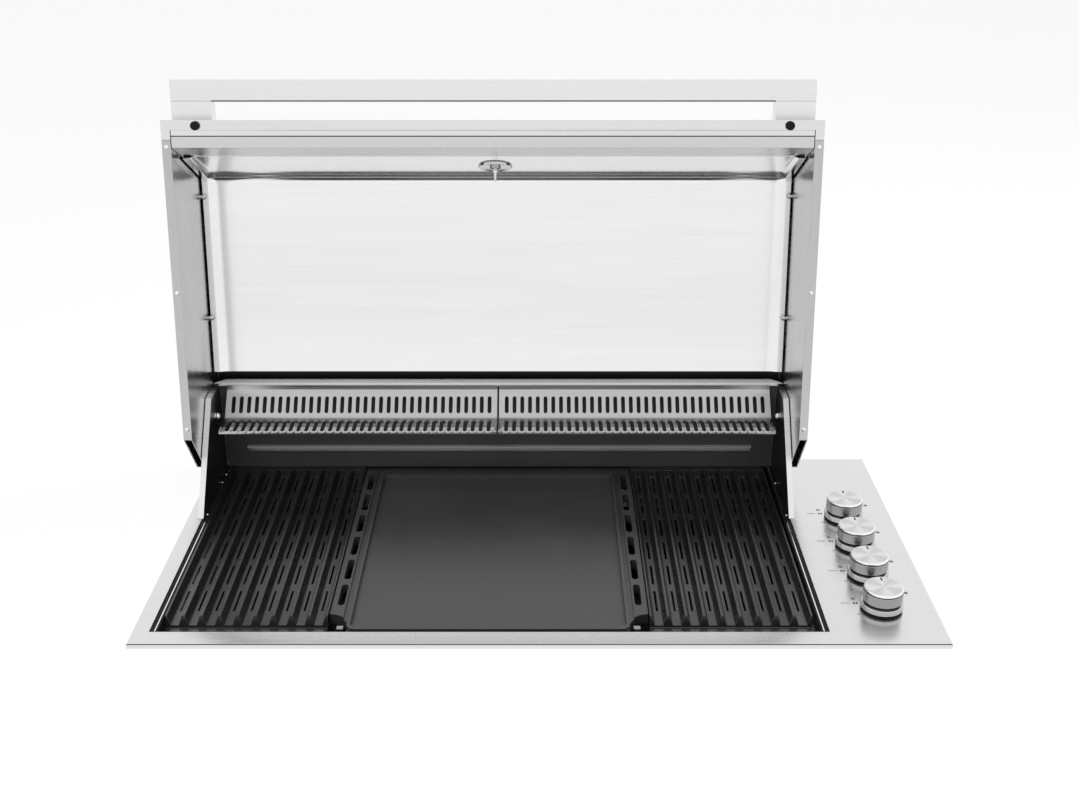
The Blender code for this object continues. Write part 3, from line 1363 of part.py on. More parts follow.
HOOD_PIVOT = empty("hood_pivot", PIVOT, rotation=(math.radians(-HOOD_OPEN_DEG), 0, 0))
make_hood_shell(HOOD_PIVOT)
make_hood_sides(HOOD_PIVOT)
make_hood_lip(HOOD_PIVOT)
make_hood_liner(HOOD_PIVOT)
make_handle(HOOD_PIVOT)
make_bumpers(HOOD_PIVOT)
make_thermometer(HOOD_PIVOT)
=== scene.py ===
"""Looks of the built-in gas grill: finishes, detailed pieces, stage, lamps and camera.

Metres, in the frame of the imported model: +Z up, z = 0 on the worktop, -Y towards the viewer.
"""
import json
import math

import bmesh
import bpy
from mathutils import Matrix, Vector


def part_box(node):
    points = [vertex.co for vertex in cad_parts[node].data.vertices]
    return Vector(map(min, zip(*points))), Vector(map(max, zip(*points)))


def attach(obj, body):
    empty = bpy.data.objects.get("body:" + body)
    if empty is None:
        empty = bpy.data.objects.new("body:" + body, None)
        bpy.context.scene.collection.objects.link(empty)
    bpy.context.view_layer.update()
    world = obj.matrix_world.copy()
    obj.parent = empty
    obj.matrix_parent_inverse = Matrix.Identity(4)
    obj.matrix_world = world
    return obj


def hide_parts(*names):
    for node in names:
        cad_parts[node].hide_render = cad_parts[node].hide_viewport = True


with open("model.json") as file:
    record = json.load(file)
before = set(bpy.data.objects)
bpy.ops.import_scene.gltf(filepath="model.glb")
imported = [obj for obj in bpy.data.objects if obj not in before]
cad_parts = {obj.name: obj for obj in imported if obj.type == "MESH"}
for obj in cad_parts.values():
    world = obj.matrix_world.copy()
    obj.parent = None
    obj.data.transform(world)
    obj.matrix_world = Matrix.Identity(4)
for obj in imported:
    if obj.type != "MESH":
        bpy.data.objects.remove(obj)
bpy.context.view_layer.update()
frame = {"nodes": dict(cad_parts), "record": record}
NODES = frame["nodes"]
BODIES = frame["record"]["behaviour"]["bodies"]
BODY_OF = {node: body for body, members in BODIES.items() for node in members}

# Camera
CAMERA_PLACE = (0.0, -1.3748, 0.9410)
CAMERA_PITCH_DEG = 24.17
FOCAL_PIXELS = 1340
IMAGE_WIDTH = 1079
SENSOR = 36.0

# Sizes that the pieces share with the solids
DECK = 0.0064
COOK_X = -0.062
PIVOT = Vector((COOK_X, 0.4306, 0.112))
HOOD_OPEN_DEG = 98.56
HOOD_LEAN = math.radians(21)
PIVOT_BACK = 0.4366
PIVOT_RISE = 0.1056
HOOD_LIFT = 0.004
HOOD_WIDTH = 0.880
SHEET = 0.0012
SIDE_THICK = 0.012
KNOB_X = 0.435
KNOB_YS = (0.075, 0.154, 0.233, 0.312)
RACK_X = (-0.470, -0.0634, -0.0606, 0.346)
RACK_MARGIN = 0.0057
RACK_SLOTS = 34
RACK_SLOT_HALF = 0.0029

# Mesh and finish settings
MERGE = 0.000005
NEAR = 1e-5
SHARP_DEG = 32
REFLECTION_FAN_DEG = 51
KNOB_SIDES = 96
RING_SIDES = 64
STEM_HOLE = 0.0052
HOLE_SIDES = 16

# Stage
WORKTOP_REACH = 30.0
WORKTOP_HOLE = ((-0.49, 0.008), (0.49, 0.485))
WORKTOP_GLOW = 0.90
WORLD_LIGHT = 0.45

# Places of the small parts, from the hood's middle (x, back), or in the frame
DOME_NUTS = ((-0.4215, 0.1174), (-0.4215, 0.2955), (0.4215, 0.1163), (0.4215, 0.2959))
DOME_NUT_RISE = 0.1368
EDGE_SCREW_X = 0.434
EDGE_SCREW_BACKS = (0.035, 0.232, 0.427)
LEDGE_Z = 0.0049
LEDGE_STUDS = ((-0.4790, 0.4500), (-0.4795, 0.4240), (-0.4790, 0.3235), (0.3560, 0.4210), (0.3560, 0.3215))
LEDGE_TRIMS = ((-0.4776, -0.4760), (0.3520, 0.3536))
FLUE_X = (-0.4474, 0.3243)
LIP_DEPTH = 0.0130
FOLDS = ((0.0130, 0.0022), (0.0196, 0.0022), (0.0196, 0.0300))
CHANNEL = ((0.0228, 0.0300), (0.0228, 0.0028), (0.0357, 0.0028), (0.0512, 0.0500))
LINER_FOOT = 0.047
LINER_REAR = 0.379
LINER_GAP = 0.0315
LINER_BEND = 0.016
LINER_UP = 0.145
LINER_EDGE = 0.4257
LINER_BORDER = 0.0036
GAUGE_RISE = 0.1039
MARK_LINE = (-0.0494, -0.0380, 0.0118)


# Node helpers


def new_material(name, colour, roughness, metallic=0.0, **sockets):
    material = bpy.data.materials.new(name)
    material.use_nodes = True
    shader = material.node_tree.nodes["Principled BSDF"]
    shader.inputs["Base Color"].default_value = (*colour, 1)
    shader.inputs["Roughness"].default_value = roughness
    shader.inputs["Metallic"].default_value = metallic
    for socket, value in sockets.items():
        shader.inputs[socket.replace("_", " ")].default_value = value
    return material


def node(tree, kind, **settings):
    made = tree.nodes.new(kind)
    for name, value in settings.items():
        setattr(made, name, value)
    return made


def mapped(tree, scale):
    """Object coordinates, scaled."""
    place = node(tree, "ShaderNodeTexCoord")
    mapping = node(tree, "ShaderNodeMapping")
    mapping.inputs["Scale"].default_value = scale
    tree.links.new(place.outputs["Object"], mapping.inputs["Vector"])
    return mapping.outputs["Vector"]


def noise(tree, vector, detail=3.0, roughness=0.55):
    made = node(tree, "ShaderNodeTexNoise")
    made.inputs["Scale"].default_value = 1.0
    made.inputs["Detail"].default_value = detail
    made.inputs["Roughness"].default_value = roughness
    tree.links.new(vector, made.inputs["Vector"])
    return made.outputs["Fac"]


def spread(tree, value, low, high, start=0.3, end=0.7):
    """value from start to end, as a number from low to high."""
    made = node(tree, "ShaderNodeMapRange")
    for socket, number in (("From Min", start), ("From Max", end), ("To Min", low), ("To Max", high)):
        made.inputs[socket].default_value = number
    tree.links.new(value, made.inputs["Value"])
    return made.outputs["Result"]


def math_node(tree, operation, first, second=0.0):
    made = node(tree, "ShaderNodeMath", operation=operation)
    for socket, value in zip(made.inputs, (first, second)):
        if isinstance(value, (int, float)):
            socket.default_value = value
        else:
            tree.links.new(value, socket)
    return made.outputs["Value"]


def blend(tree, first, second, share):
    """Two numbers added, the first by share and the second by the rest."""
    return math_node(tree, "ADD", math_node(tree, "MULTIPLY", first, share),
                     math_node(tree, "MULTIPLY", second, 1 - share))


def mixed_colour(tree, fac, first, second):
    """Two colours mixed; each is a socket or a plain colour."""
    made = node(tree, "ShaderNodeMix", data_type="RGBA")
    for socket, value in (("A", first), ("B", second)):
        if isinstance(value, tuple):
            made.inputs[socket].default_value = (*value, 1)
        else:
            tree.links.new(value, made.inputs[socket])
    tree.links.new(fac, made.inputs["Factor"])
    return made.outputs["Result"]


def bumped(tree, height, strength, distance):
    made = node(tree, "ShaderNodeBump")
    made.inputs["Strength"].default_value = strength
    made.inputs["Distance"].default_value = distance
    tree.links.new(height, made.inputs["Height"])
    return made.outputs["Normal"]


def grey(level):
    return (level, level, level)


# Finishes


def brushed(name, level, roughness, along="X", contrast=0.05, bump=0.12, fine=260.0, length=10.0):
    """Steel sheet with its grain along one axis."""
    material = new_material(name, grey(level), roughness, 1.0)
    tree = material.node_tree
    shader = tree.nodes["Principled BSDF"]
    axis = "XYZ".index(along)

    def stretched(across, lengthwise):
        scale = [across] * 3
        scale[axis] = lengthwise
        return mapped(tree, scale)

    grain = noise(tree, stretched(fine, length), detail=5, roughness=0.7)
    bands = noise(tree, stretched(fine / 7, length / 5), detail=2)
    tint = spread(tree, blend(tree, grain, bands, 0.6), 0.0, 1.0, 0.35, 0.65)
    dark, light = grey(level * (1 - contrast)), grey(min(1, level * (1 + contrast)))
    tree.links.new(mixed_colour(tree, tint, dark, light), shader.inputs["Base Color"])
    tree.links.new(spread(tree, grain, roughness * 0.8, roughness * 1.2), shader.inputs["Roughness"])
    tree.links.new(bumped(tree, grain, bump, 0.0002), shader.inputs["Normal"])
    return material


def spun(name, cap, edge, side, roughness):
    """Turned steel round Z: a cap with a painted highlight on its rounded edge, a lower side darkened as
    painted shade, painted reflection fans by angle, and random streaks and rings from its cutter.
    """
    material = new_material(name, grey(cap), roughness, 1.0, Anisotropic=0.7)
    tree = material.node_tree
    shader = tree.nodes["Principled BSDF"]
    tangent = node(tree, "ShaderNodeTangent", direction_type="RADIAL", axis="Z")
    tree.links.new(tangent.outputs["Tangent"], shader.inputs["Tangent"])
    place = node(tree, "ShaderNodeTexCoord")
    split = node(tree, "ShaderNodeSeparateXYZ")
    tree.links.new(place.outputs["Object"], split.inputs["Vector"])
    x, y, z = (split.outputs[axis] for axis in "XYZ")
    square = [math_node(tree, "MULTIPLY", side, side) for side in (x, y)]
    radius = math_node(tree, "SQRT", math_node(tree, "ADD", *square))
    angle = math_node(tree, "ARCTAN2", y, x)
    # Painted reflection: light and dark fans by angle round Z, fixed to the piece
    turn = math_node(tree, "MULTIPLY", math_node(tree, "SUBTRACT", angle, math.radians(REFLECTION_FAN_DEG)), 4.0)
    reflection_fan = spread(tree, math_node(tree, "COSINE", turn), 1.0, 0.0, -1.0, 1.0)
    round_place = node(tree, "ShaderNodeCombineXYZ")
    for axis, operation in (("X", "COSINE"), ("Y", "SINE")):
        turned_place = math_node(tree, "MULTIPLY", math_node(tree, operation, angle), 5.0)
        tree.links.new(turned_place, round_place.inputs[axis])
    streaks = spread(tree, noise(tree, round_place.outputs["Vector"], detail=4, roughness=0.6), 0.0, 1.0)
    reflection_and_streaks = blend(tree, reflection_fan, streaks, 0.6)
    ring_place = node(tree, "ShaderNodeCombineXYZ")
    tree.links.new(math_node(tree, "MULTIPLY", radius, 2600.0), ring_place.inputs["X"])
    tree.links.new(math_node(tree, "MULTIPLY", z, 2600.0), ring_place.inputs["Y"])
    rings = noise(tree, ring_place.outputs["Vector"], detail=2)
    top = mixed_colour(tree, reflection_and_streaks, grey(cap * 0.78), grey(min(1, cap * 1.16)))
    # Painted highlight: the cap's rounded edge gets the brighter edge level
    bright = spread(tree, radius, 0.0, 1.0, 0.0228, 0.0232)
    top = mixed_colour(tree, bright, top, grey(edge))
    # The lower side takes a darker level than the cap: painted shade, with real cutter rings on it
    low = spread(tree, z, 1.0, 0.0, 0.0292, 0.0296)
    wall = mixed_colour(tree, spread(tree, rings, 0.0, 1.0), grey(side * 0.92), grey(side * 1.06))
    tree.links.new(mixed_colour(tree, low, top, wall), shader.inputs["Base Color"])
    tree.links.new(bumped(tree, rings, 0.08, 0.0001), shader.inputs["Normal"])
    return material


def coated(name, dark, light, roughness, grain, bump, depth=0.0002, **sockets):
    """Enamel, iron or paint: a fine grain with slow patches in colour and gloss."""
    metallic = sockets.pop("Metallic", 0.0)
    material = new_material(name, dark, roughness, metallic, **sockets)
    tree = material.node_tree
    shader = tree.nodes["Principled BSDF"]
    fine = noise(tree, mapped(tree, (grain,) * 3), detail=3)
    slow = noise(tree, mapped(tree, (6.0,) * 3), detail=4)
    tint = spread(tree, blend(tree, fine, slow, 0.5), 0, 1, 0.38, 0.62)
    tree.links.new(mixed_colour(tree, tint, dark, light), shader.inputs["Base Color"])
    tree.links.new(spread(tree, slow, roughness * 0.88, roughness * 1.12), shader.inputs["Roughness"])
    tree.links.new(bumped(tree, fine, bump, depth), shader.inputs["Normal"])
    return material


STEEL = brushed("brushed_steel", 0.66, 0.28, contrast=0.035, bump=0.06)
PLATE_STEEL = brushed("plate_steel", 0.75, 0.26, contrast=0.025, bump=0.03, fine=650.0, length=5.0)
LIP_STEEL = brushed("lip_steel", 0.76, 0.24, contrast=0.03, bump=0.03, fine=500.0, length=7.0)
LINER_STEEL = brushed("liner_steel", 0.86, 0.14, contrast=0.03, bump=0.015, fine=420.0, length=8.0)
# A darker copy of the sheet steel for the hood's sides: painted shade
SIDE_STEEL = brushed("side_steel", 0.53, 0.24, along="Z", contrast=0.05, bump=0.06)
FOLD_STEEL = brushed("fold_steel", 0.64, 0.26, contrast=0.035, bump=0.06)
RACK_STEEL = brushed("rack_steel", 0.50, 0.20, contrast=0.03, bump=0.04)
HANDLE_STEEL = brushed("handle_steel", 0.81, 0.26, contrast=0.03, bump=0.03, fine=500.0, length=7.0)
TRIM_STEEL = brushed("trim_steel", 0.42, 0.26, contrast=0.03, bump=0.04)
# Knob and ring steel: the edge level is a painted highlight, the side level painted shade, and the top carries
# painted reflection fans
KNOB_STEEL = spun("knob_steel", 0.71, 0.95, 0.46, 0.24)
RING_STEEL = spun("ring_steel", 0.74, 0.74, 0.62, 0.24)
BRIGHT = brushed("bright_steel", 0.86, 0.14, contrast=0.02, bump=0.03)
POLISHED = brushed("polished_steel", 0.58, 0.09, contrast=0.02, bump=0.02)
SATIN_STEEL = coated("satin_steel", grey(0.86), grey(0.94), 0.50, 500.0, 0.05, Metallic=0.2)
LOUVRE_PAINT = coated("louvre_paint", grey(0.46), grey(0.54), 0.38, 500.0, 0.05, Metallic=0.25)
ZINC = coated("zinc_steel", grey(0.36), grey(0.52), 0.42, 500.0, 0.12, Metallic=1.0)
DARK_STEEL = coated("dark_steel", grey(0.05), grey(0.09), 0.40, 700.0, 0.1, Metallic=0.7)
ENAMEL = coated("black_enamel", grey(0.006), grey(0.011), 0.32, 1100.0, 0.10, Specular_IOR_Level=0.3)
SATIN_ENAMEL = coated("satin_enamel", grey(0.042), grey(0.054), 0.45, 1100.0, 0.10)
MATT_ENAMEL = coated("matt_enamel", grey(0.005), grey(0.010), 0.50, 1100.0, 0.10, Specular_IOR_Level=0.12)
IRON = coated("cast_iron", grey(0.028), grey(0.042), 0.35, 700.0, 0.20, Specular_IOR_Level=0.9)
RIB_IRON = coated("rib_iron", grey(0.008), grey(0.015), 0.27, 700.0, 0.20, Specular_IOR_Level=1.0)
RAW_IRON = coated("raw_iron", grey(0.03), grey(0.07), 0.62, 600.0, 0.4, 0.0003, Metallic=0.4)
BRASS = coated("brass", (0.52, 0.36, 0.12), (0.62, 0.44, 0.17), 0.32, 400.0, 0.05, Metallic=1.0)
RUBBER = coated("rubber", grey(0.004), grey(0.008), 0.70, 900.0, 0.15, Specular_IOR_Level=0.2)
RED = coated("red_paint", (0.50, 0.02, 0.015), (0.58, 0.03, 0.02), 0.40, 800.0, 0.04)
INK = coated("print_ink", grey(0.03), grey(0.05), 0.55, 800.0, 0.05)
DIAL = coated("dial_face", grey(0.80), grey(0.84), 0.45, 900.0, 0.03)
GLASS = new_material("gauge_glass", (1, 1, 1), 0.02, 0.0, Transmission_Weight=1.0, IOR=1.45)

# Mesh helpers


def smoothed(mesh):
    """Smooth shading, with the edges over the sharp angle kept sharp."""
    mesh.shade_smooth()
    mesh.set_sharp_from_angle(angle=math.radians(SHARP_DEG))
    return mesh


def mesh_of(name, bm, smooth=True):
    bmesh.ops.recalc_face_normals(bm, faces=bm.faces)
    mesh = bpy.data.meshes.new(name)
    bm.to_mesh(mesh)
    bm.free()
    return smoothed(mesh) if smooth else mesh


def piece(name, mesh, body, slot, material, *replaced):
    """A piece of the object that rides on a body and may stand for solids."""
    mesh.materials.clear()
    mesh.materials.append(material)
    obj = bpy.data.objects.new(name, mesh)
    bpy.context.scene.collection.objects.link(obj)
    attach(obj, body)
    if replaced:
        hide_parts(*replaced)
    return obj


def bevelled(obj, width, segments=2, angle=30):
    bevel = obj.modifiers.new("Edges", "BEVEL")
    bevel.width = width
    bevel.segments = segments
    bevel.limit_method = "ANGLE"
    bevel.angle_limit = math.radians(angle)
    bevel.harden_normals = True
    return obj


def thickened(obj, thickness, offset):
    sheet = obj.modifiers.new("Sheet", "SOLIDIFY")
    sheet.thickness = thickness
    sheet.offset = offset
    sheet.use_even_offset = True
    return obj


def baked(obj):
    """Turns a piece's modifiers into its mesh and marks its sharp edges again."""
    bpy.context.view_layer.update()
    mesh = bpy.data.meshes.new_from_object(obj.evaluated_get(bpy.context.evaluated_depsgraph_get()))
    obj.modifiers.clear()
    obj.data = smoothed(mesh)
    return obj


def refined(source, slot, material, bevel, segments=2):
    """A solid's own shape with merged faces and rounded edges."""
    bm = bmesh.new()
    bm.from_mesh(NODES[source].data)
    bmesh.ops.remove_doubles(bm, verts=bm.verts, dist=MERGE)
    bmesh.ops.dissolve_limit(bm, angle_limit=math.radians(0.5), verts=bm.verts, edges=bm.edges)
    bm.verts.index_update()
    mesh = bpy.data.meshes.new(f"{source}_form")
    faces = [[vert.index for vert in face.verts] for face in bm.faces]
    mesh.from_pydata([vert.co[:] for vert in bm.verts], [], faces)
    bm.free()
    obj = piece(f"{source}_form", smoothed(mesh), BODY_OF[source], slot, material, source)
    return bevelled(obj, bevel, segments, SHARP_DEG)


def finished(source, material):
    """A solid that keeps its own mesh and gets a finish."""
    obj = NODES[source]
    obj.data.materials.clear()
    obj.data.materials.append(material)


def box(bm, low, high):
    low, high = Vector(low), Vector(high)
    scale = Matrix.Diagonal((*(high - low), 1))
    return bmesh.ops.create_cube(bm, size=1, matrix=Matrix.Translation((low + high) / 2) @ scale)["verts"]


def turned(bm, profile, sides, matrix=Matrix.Identity(4), closed=False):
    """A profile of (radius, height) turned round Z, put in place by matrix."""
    rings = []
    for radius, height in profile:
        if radius == 0:
            rings.append([bm.verts.new(matrix @ Vector((0, 0, height)))])
        else:
            turns = [2 * math.pi * k / sides for k in range(sides)]
            rings.append([
                bm.verts.new(matrix @ Vector((radius * math.cos(turn), radius * math.sin(turn), height)))
                for turn in turns])
    pairs = list(zip(rings, rings[1:]))
    if closed:
        pairs.append((rings[-1], rings[0]))
    for upper, lower in pairs:
        for k in range(sides):
            after = (k + 1) % sides
            corners = [upper[k % len(upper)], upper[after % len(upper)],
                       lower[after % len(lower)], lower[k % len(lower)]]
            unique = list(dict.fromkeys(corners))
            if len(unique) > 2:
                bm.faces.new(unique)


def hood_yz(back, up):
    return back - PIVOT_BACK, up + HOOD_LIFT - PIVOT_RISE


HOOD = Matrix.Translation(PIVOT) @ Matrix.Rotation(math.radians(-HOOD_OPEN_DEG), 4, "X")


def hood_point(x, back, up):
    """A point of the closed hood, from its middle, in the open hood's place."""
    return HOOD @ Vector((x, *hood_yz(back, up)))


def arc(centre, radius, start_deg, end_deg, steps):
    points = []
    for index in range(steps + 1):
        angle = math.radians(start_deg + (end_deg - start_deg) * index / steps)
        points.append((centre[0] + radius * math.cos(angle), centre[1] + radius * math.sin(angle)))
    return points


# Sheets of the body


def ring_loop(bm, low, high, z):
    (x0, y0), (x1, y1) = low, high
    return [bm.verts.new((x, y, z)) for x, y in ((x0, y0), (x1, y0), (x1, y1), (x0, y1))]


def make_top_plate():
    """The flange: a sheet with a rounded edge, a step under it all round, and a hole for each stem; a dark
    strip in that step at front and rear is painted shade.
    """
    low, high = [Vector(corner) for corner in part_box("top_plate")]
    mouth_low, mouth_high = (-0.483, 0.0215), (0.359, 0.479)
    bm = bmesh.new()

    def outer(inset, z):
        return ring_loop(bm, (low.x + inset, low.y + inset), (high.x - inset, high.y - inset), z)

    def inner(outset, z):
        return ring_loop(bm, (mouth_low[0] - outset, mouth_low[1] - outset),
                         (mouth_high[0] + outset, mouth_high[1] + outset), z)

    rings = [
        outer(0.0080, 0.0), outer(0.0004, 0.0), outer(0.0, 0.0004), outer(0.0, 0.0052), outer(0.0002, 0.0054),
        outer(0.0011, 0.0054), outer(0.0011, 0.0062), outer(0.0013, 0.0064),
        inner(0.0004, 0.0064), inner(0.0001, 0.0063), inner(0.0, 0.0060), inner(0.0, 0.0052),
        outer(0.0024, 0.0052), outer(0.0024, 0.0012), outer(0.0080, 0.0012)]
    sheets = {7: 8, 11: 12}
    for index, ring in enumerate(rings):
        after = rings[(index + 1) % len(rings)]
        for k in range(4):
            if index in sheets and k == 1:
                continue
            following = (k + 1) % 4
            bm.faces.new((ring[k], ring[following], after[following], after[k]))
    circles = []
    for index in sheets:
        ring, after = rings[index], rings[sheets[index]]
        z = ring[0].co.z
        edges = [bm.edges.get((a, b)) for a, b in (
            (ring[1], ring[2]), (ring[2], after[2]), (after[2], after[1]), (after[1], ring[1]))]
        level = []
        for y in KNOB_YS:
            circle = [bm.verts.new((KNOB_X + STEM_HOLE * math.cos(math.tau * k / HOLE_SIDES),
                                    y + STEM_HOLE * math.sin(math.tau * k / HOLE_SIDES), z))
                      for k in range(HOLE_SIDES)]
            edges += [bm.edges.new((circle[k], circle[(k + 1) % HOLE_SIDES])) for k in range(HOLE_SIDES)]
            level.append(circle)
        bmesh.ops.triangle_fill(bm, use_beauty=True, use_dissolve=False, edges=edges)
        circles.append(level)
    for first, second in zip(*circles):
        for k in range(HOLE_SIDES):
            after = (k + 1) % HOLE_SIDES
            bm.faces.new((first[k], first[after], second[after], second[k]))
    piece("top_plate_form", mesh_of("top_plate_form", bm), BODY_OF["top_plate"],
          "stainless", PLATE_STEEL, "top_plate")
    # A dark rubber strip in the step along the front and rear edges: painted shade under the edge
    bm = bmesh.new()
    box(bm, (low.x + 0.0006, low.y + 0.0003, 0.00545), (high.x - 0.0006, low.y + 0.00105, 0.0060))
    box(bm, (low.x + 0.0006, high.y - 0.00105, 0.00545), (high.x - 0.0006, high.y - 0.0003, 0.0060))
    piece("rim_shade_strip", mesh_of("rim_shade_strip", bm), BODY_OF["top_plate"], "dark_steel", RUBBER)


def dome(radius, height, steps=5):
    return [(radius * math.cos(math.pi / 2 * k / steps), height * math.sin(math.pi / 2 * k / steps))
            for k in range(steps, -1, -1)]


def lifted(profile, height):
    return [(radius, z + height) for radius, z in profile]


def make_pivots():
    """A dome nut with a washer inside each wing."""
    profile = lifted(dome(0.0048, 0.0035), 0.0040) + [
        (0.0050, 0.0038), (0.0050, 0.0012), (0.0068, 0.0010), (0.0068, 0.0), (0.0040, 0.0), (0.0040, -0.0108),
        (0.0075, -0.0108), (0.0075, -0.0145), (0, -0.0145)]
    for side, x, sign in (("left", -0.4807, 1), ("right", 0.3567, -1)):
        bm = bmesh.new()
        site = Matrix.Translation((x, PIVOT.y, PIVOT.z))
        turned(bm, profile, 24, site @ Matrix.Rotation(sign * math.pi / 2, 4, "Y"))
        name = f"pivot_bolt_{side}"
        piece(f"{name}_form", mesh_of(name, bm), BODY_OF[name], "bright_steel", BRIGHT, name)


def make_ledge():
    """Trims and studs on the ledge beside the plates, and clips in the notches of the plates' rails."""
    chassis = BODY_OF["firebox"]
    bm = bmesh.new()
    for left, right in LEDGE_TRIMS:
        box(bm, (left, 0.024, LEDGE_Z + 0.00005), (right, 0.4755, LEDGE_Z + 0.0006))
    trims = piece("ledge_trims", mesh_of("ledge_trims", bm), chassis, "stainless", BRIGHT)
    bevelled(trims, 0.0002)
    bm = bmesh.new()
    for x, y in LEDGE_STUDS:
        turned(bm, dome(0.0021, 0.0016) + [(0.0021, -0.0005), (0, -0.0005)], 16,
               Matrix.Translation((x, y, LEDGE_Z)))
    piece("ledge_studs", mesh_of("ledge_studs", bm), chassis, "bright_steel", BRIGHT)
    bm = bmesh.new()
    for left, right in ((-0.2548, -0.2462), (0.1182, 0.1268)):
        box(bm, (left, 0.0405, -0.0032), (right, 0.0480, -0.0022))
        box(bm, (left, 0.0468, -0.0130), (right, 0.0480, -0.0030))
    clips = piece("rest_clips", mesh_of("rest_clips", bm), BODY_OF["plate_rest"], "stainless", TRIM_STEEL)
    bevelled(clips, 0.0004)


def make_body():
    make_top_plate()
    make_pivots()
    make_ledge()
    refined("back_panel", "stainless", SATIN_STEEL, 0.0005)
    for side in ("left", "right"):
        refined(f"wing_{side}", "stainless", HANDLE_STEEL, 0.0006)
        refined(f"wing_liner_{side}", "black_enamel", ENAMEL, 0.0003)
        refined(f"flame_tamer_{side}", "stainless", FOLD_STEEL, 0.0003)
    finished("back_liner", SATIN_ENAMEL)
    bm = bmesh.new()
    box(bm, (FLUE_X[0], 0.4706, 0.0402), (FLUE_X[1], 0.4770, 0.0405))
    box(bm, (FLUE_X[0], 0.4706, 0.0396), (FLUE_X[1], 0.4711, 0.0420))
    box(bm, (FLUE_X[0], 0.4706, 0.0417), (FLUE_X[1], 0.4770, 0.0420))
    louvre = piece("louvre_trim", mesh_of("louvre_trim", bm), BODY_OF["back_liner"],
                   "stainless", LOUVRE_PAINT)
    bevelled(louvre, 0.0001)
    refined("firebox", "black_enamel", MATT_ENAMEL, 0.0003)
    refined("plate_rest", "stainless", FOLD_STEEL, 0.0003)
    refined("control_housing", "zinc_steel", ZINC, 0.0003)
    refined("manifold", "dark_steel", DARK_STEEL, 0.0004)
    refined("grease_tray", "stainless", STEEL, 0.0003)
    for number in range(1, 5):
        refined(f"burner_{number}", "raw_iron", RAW_IRON, 0.0006)
        finished(f"feed_tube_{number}", ZINC)
        refined(f"valve_body_{number}", "brass", BRASS, 0.0005)
        finished(f"valve_plug_{number}", BRASS)
        finished(f"stem_{number}", BRIGHT)


def make_plates():
    refined("grill_left", "cast_iron", RIB_IRON, 0.0008, 3)
    refined("grill_right", "cast_iron", RIB_IRON, 0.0008, 3)
    refined("hotplate", "cast_iron", IRON, 0.0008, 3)


# Knobs


def knob_profile():
    return [
        (0, 0.0320), (0.0228, 0.0320), (0.0234, 0.03192), (0.0244, 0.0312), (0.02475, 0.0306),
        (0.02475, 0.0294), (0.0245, 0.0292), (0.0234, 0.0292), (0.0234, 0.0280), (0.0249, 0.0280),
        (0.0252, 0.0276), (0.0250, 0.0146), (0.0247, 0.0143), (0.0205, 0.0143), (0.0205, 0.0062),
        (0.0180, 0.0062), (0.0180, 0.0265), (0.0070, 0.0265), (0.0070, 0.0062), (0.0038, 0.0062),
        (0.0038, 0.0265), (0, 0.0265)]


def make_knobs():
    chassis = BODY_OF["top_plate"]
    for number, y in enumerate(KNOB_YS, 1):
        site = Vector((KNOB_X, y, DECK))
        bm = bmesh.new()
        turning, fixed = BODY_OF[f"knob_{number}"], BODY_OF[f"knob_bezel_{number}"]
        turned(bm, knob_profile(), KNOB_SIDES)
        knob = piece(f"knob_{number}_form", mesh_of("knob", bm), turning,
                     "spun_steel", KNOB_STEEL, f"knob_{number}")
        # A black ring in the groove under the cap: painted shade in the groove
        bm = bmesh.new()
        turned(bm, [(0.0236, 0.0293), (0.0243, 0.0293), (0.0243, 0.0279), (0.0236, 0.0279)],
               KNOB_SIDES, closed=True)
        line = piece(f"knob_groove_shade_{number}", mesh_of("knob_groove_shade", bm), turning, "rubber", RUBBER)
        bm = bmesh.new()
        box(bm, (-0.0003, 0.0140, 0.03195), (0.0019, 0.0215, 0.03204))
        pointer = piece(f"knob_pointer_{number}", mesh_of("pointer", bm), turning, "rubber", INK)
        bm = bmesh.new()
        turned(bm, [
            (0.0226, 0.0109), (0.0258, 0.0109), (0.0264, 0.0106), (0.0268, 0.0100), (0.0268, 0.0042),
            (0.0264, 0.0036), (0.0226, 0.0036)], KNOB_SIDES, closed=True)
        bezel = piece(f"knob_bezel_{number}_form", mesh_of("bezel", bm), fixed,
                      "spun_steel", RING_STEEL, f"knob_bezel_{number}")
        bm = bmesh.new()
        turned(bm, [(0.0222, 0.0038), (0.0261, 0.0038), (0.0261, 0.0001), (0.0222, 0.0001)],
               RING_SIDES, closed=True)
        gasket = piece(f"knob_gasket_{number}", mesh_of("gasket", bm), fixed, "rubber", RUBBER)
        for obj in (knob, line, pointer, bezel, gasket):
            obj.location = site
        make_marks(number, y, chassis)


def make_marks(number, y, chassis):
    """Plain dial marks beside a knob: a line, two rings, a pair of bars and a stroke."""
    bm = bmesh.new()
    low, high = 0.0, 0.00006

    def bar(x0, x1, y0, y1):
        box(bm, (x0, y0, low), (x1, y1, high))

    def ring(x, y, outer, inner):
        turned(bm, [(inner, low), (outer, low), (outer, high), (inner, high)], 16,
               Matrix.Translation((x, y, 0)), closed=True)

    bar(MARK_LINE[0], MARK_LINE[1], MARK_LINE[2] - 0.0005, MARK_LINE[2] + 0.0005)
    ring(-0.0316, 0.0222, 0.0027, 0.0013)
    for x in (-0.0336, -0.0300):
        bar(x, x + 0.0022, 0.0094, 0.0136)
    ring(0.0400, 0.0358, 0.0026, 0.0008)
    bar(-0.0340, -0.0285, -0.0145, -0.0134)
    marks = piece(f"knob_marks_{number}", mesh_of("marks", bm, smooth=False), chassis, "rubber", INK)
    marks.location = (KNOB_X, y, DECK + 0.00002)


# Warming racks


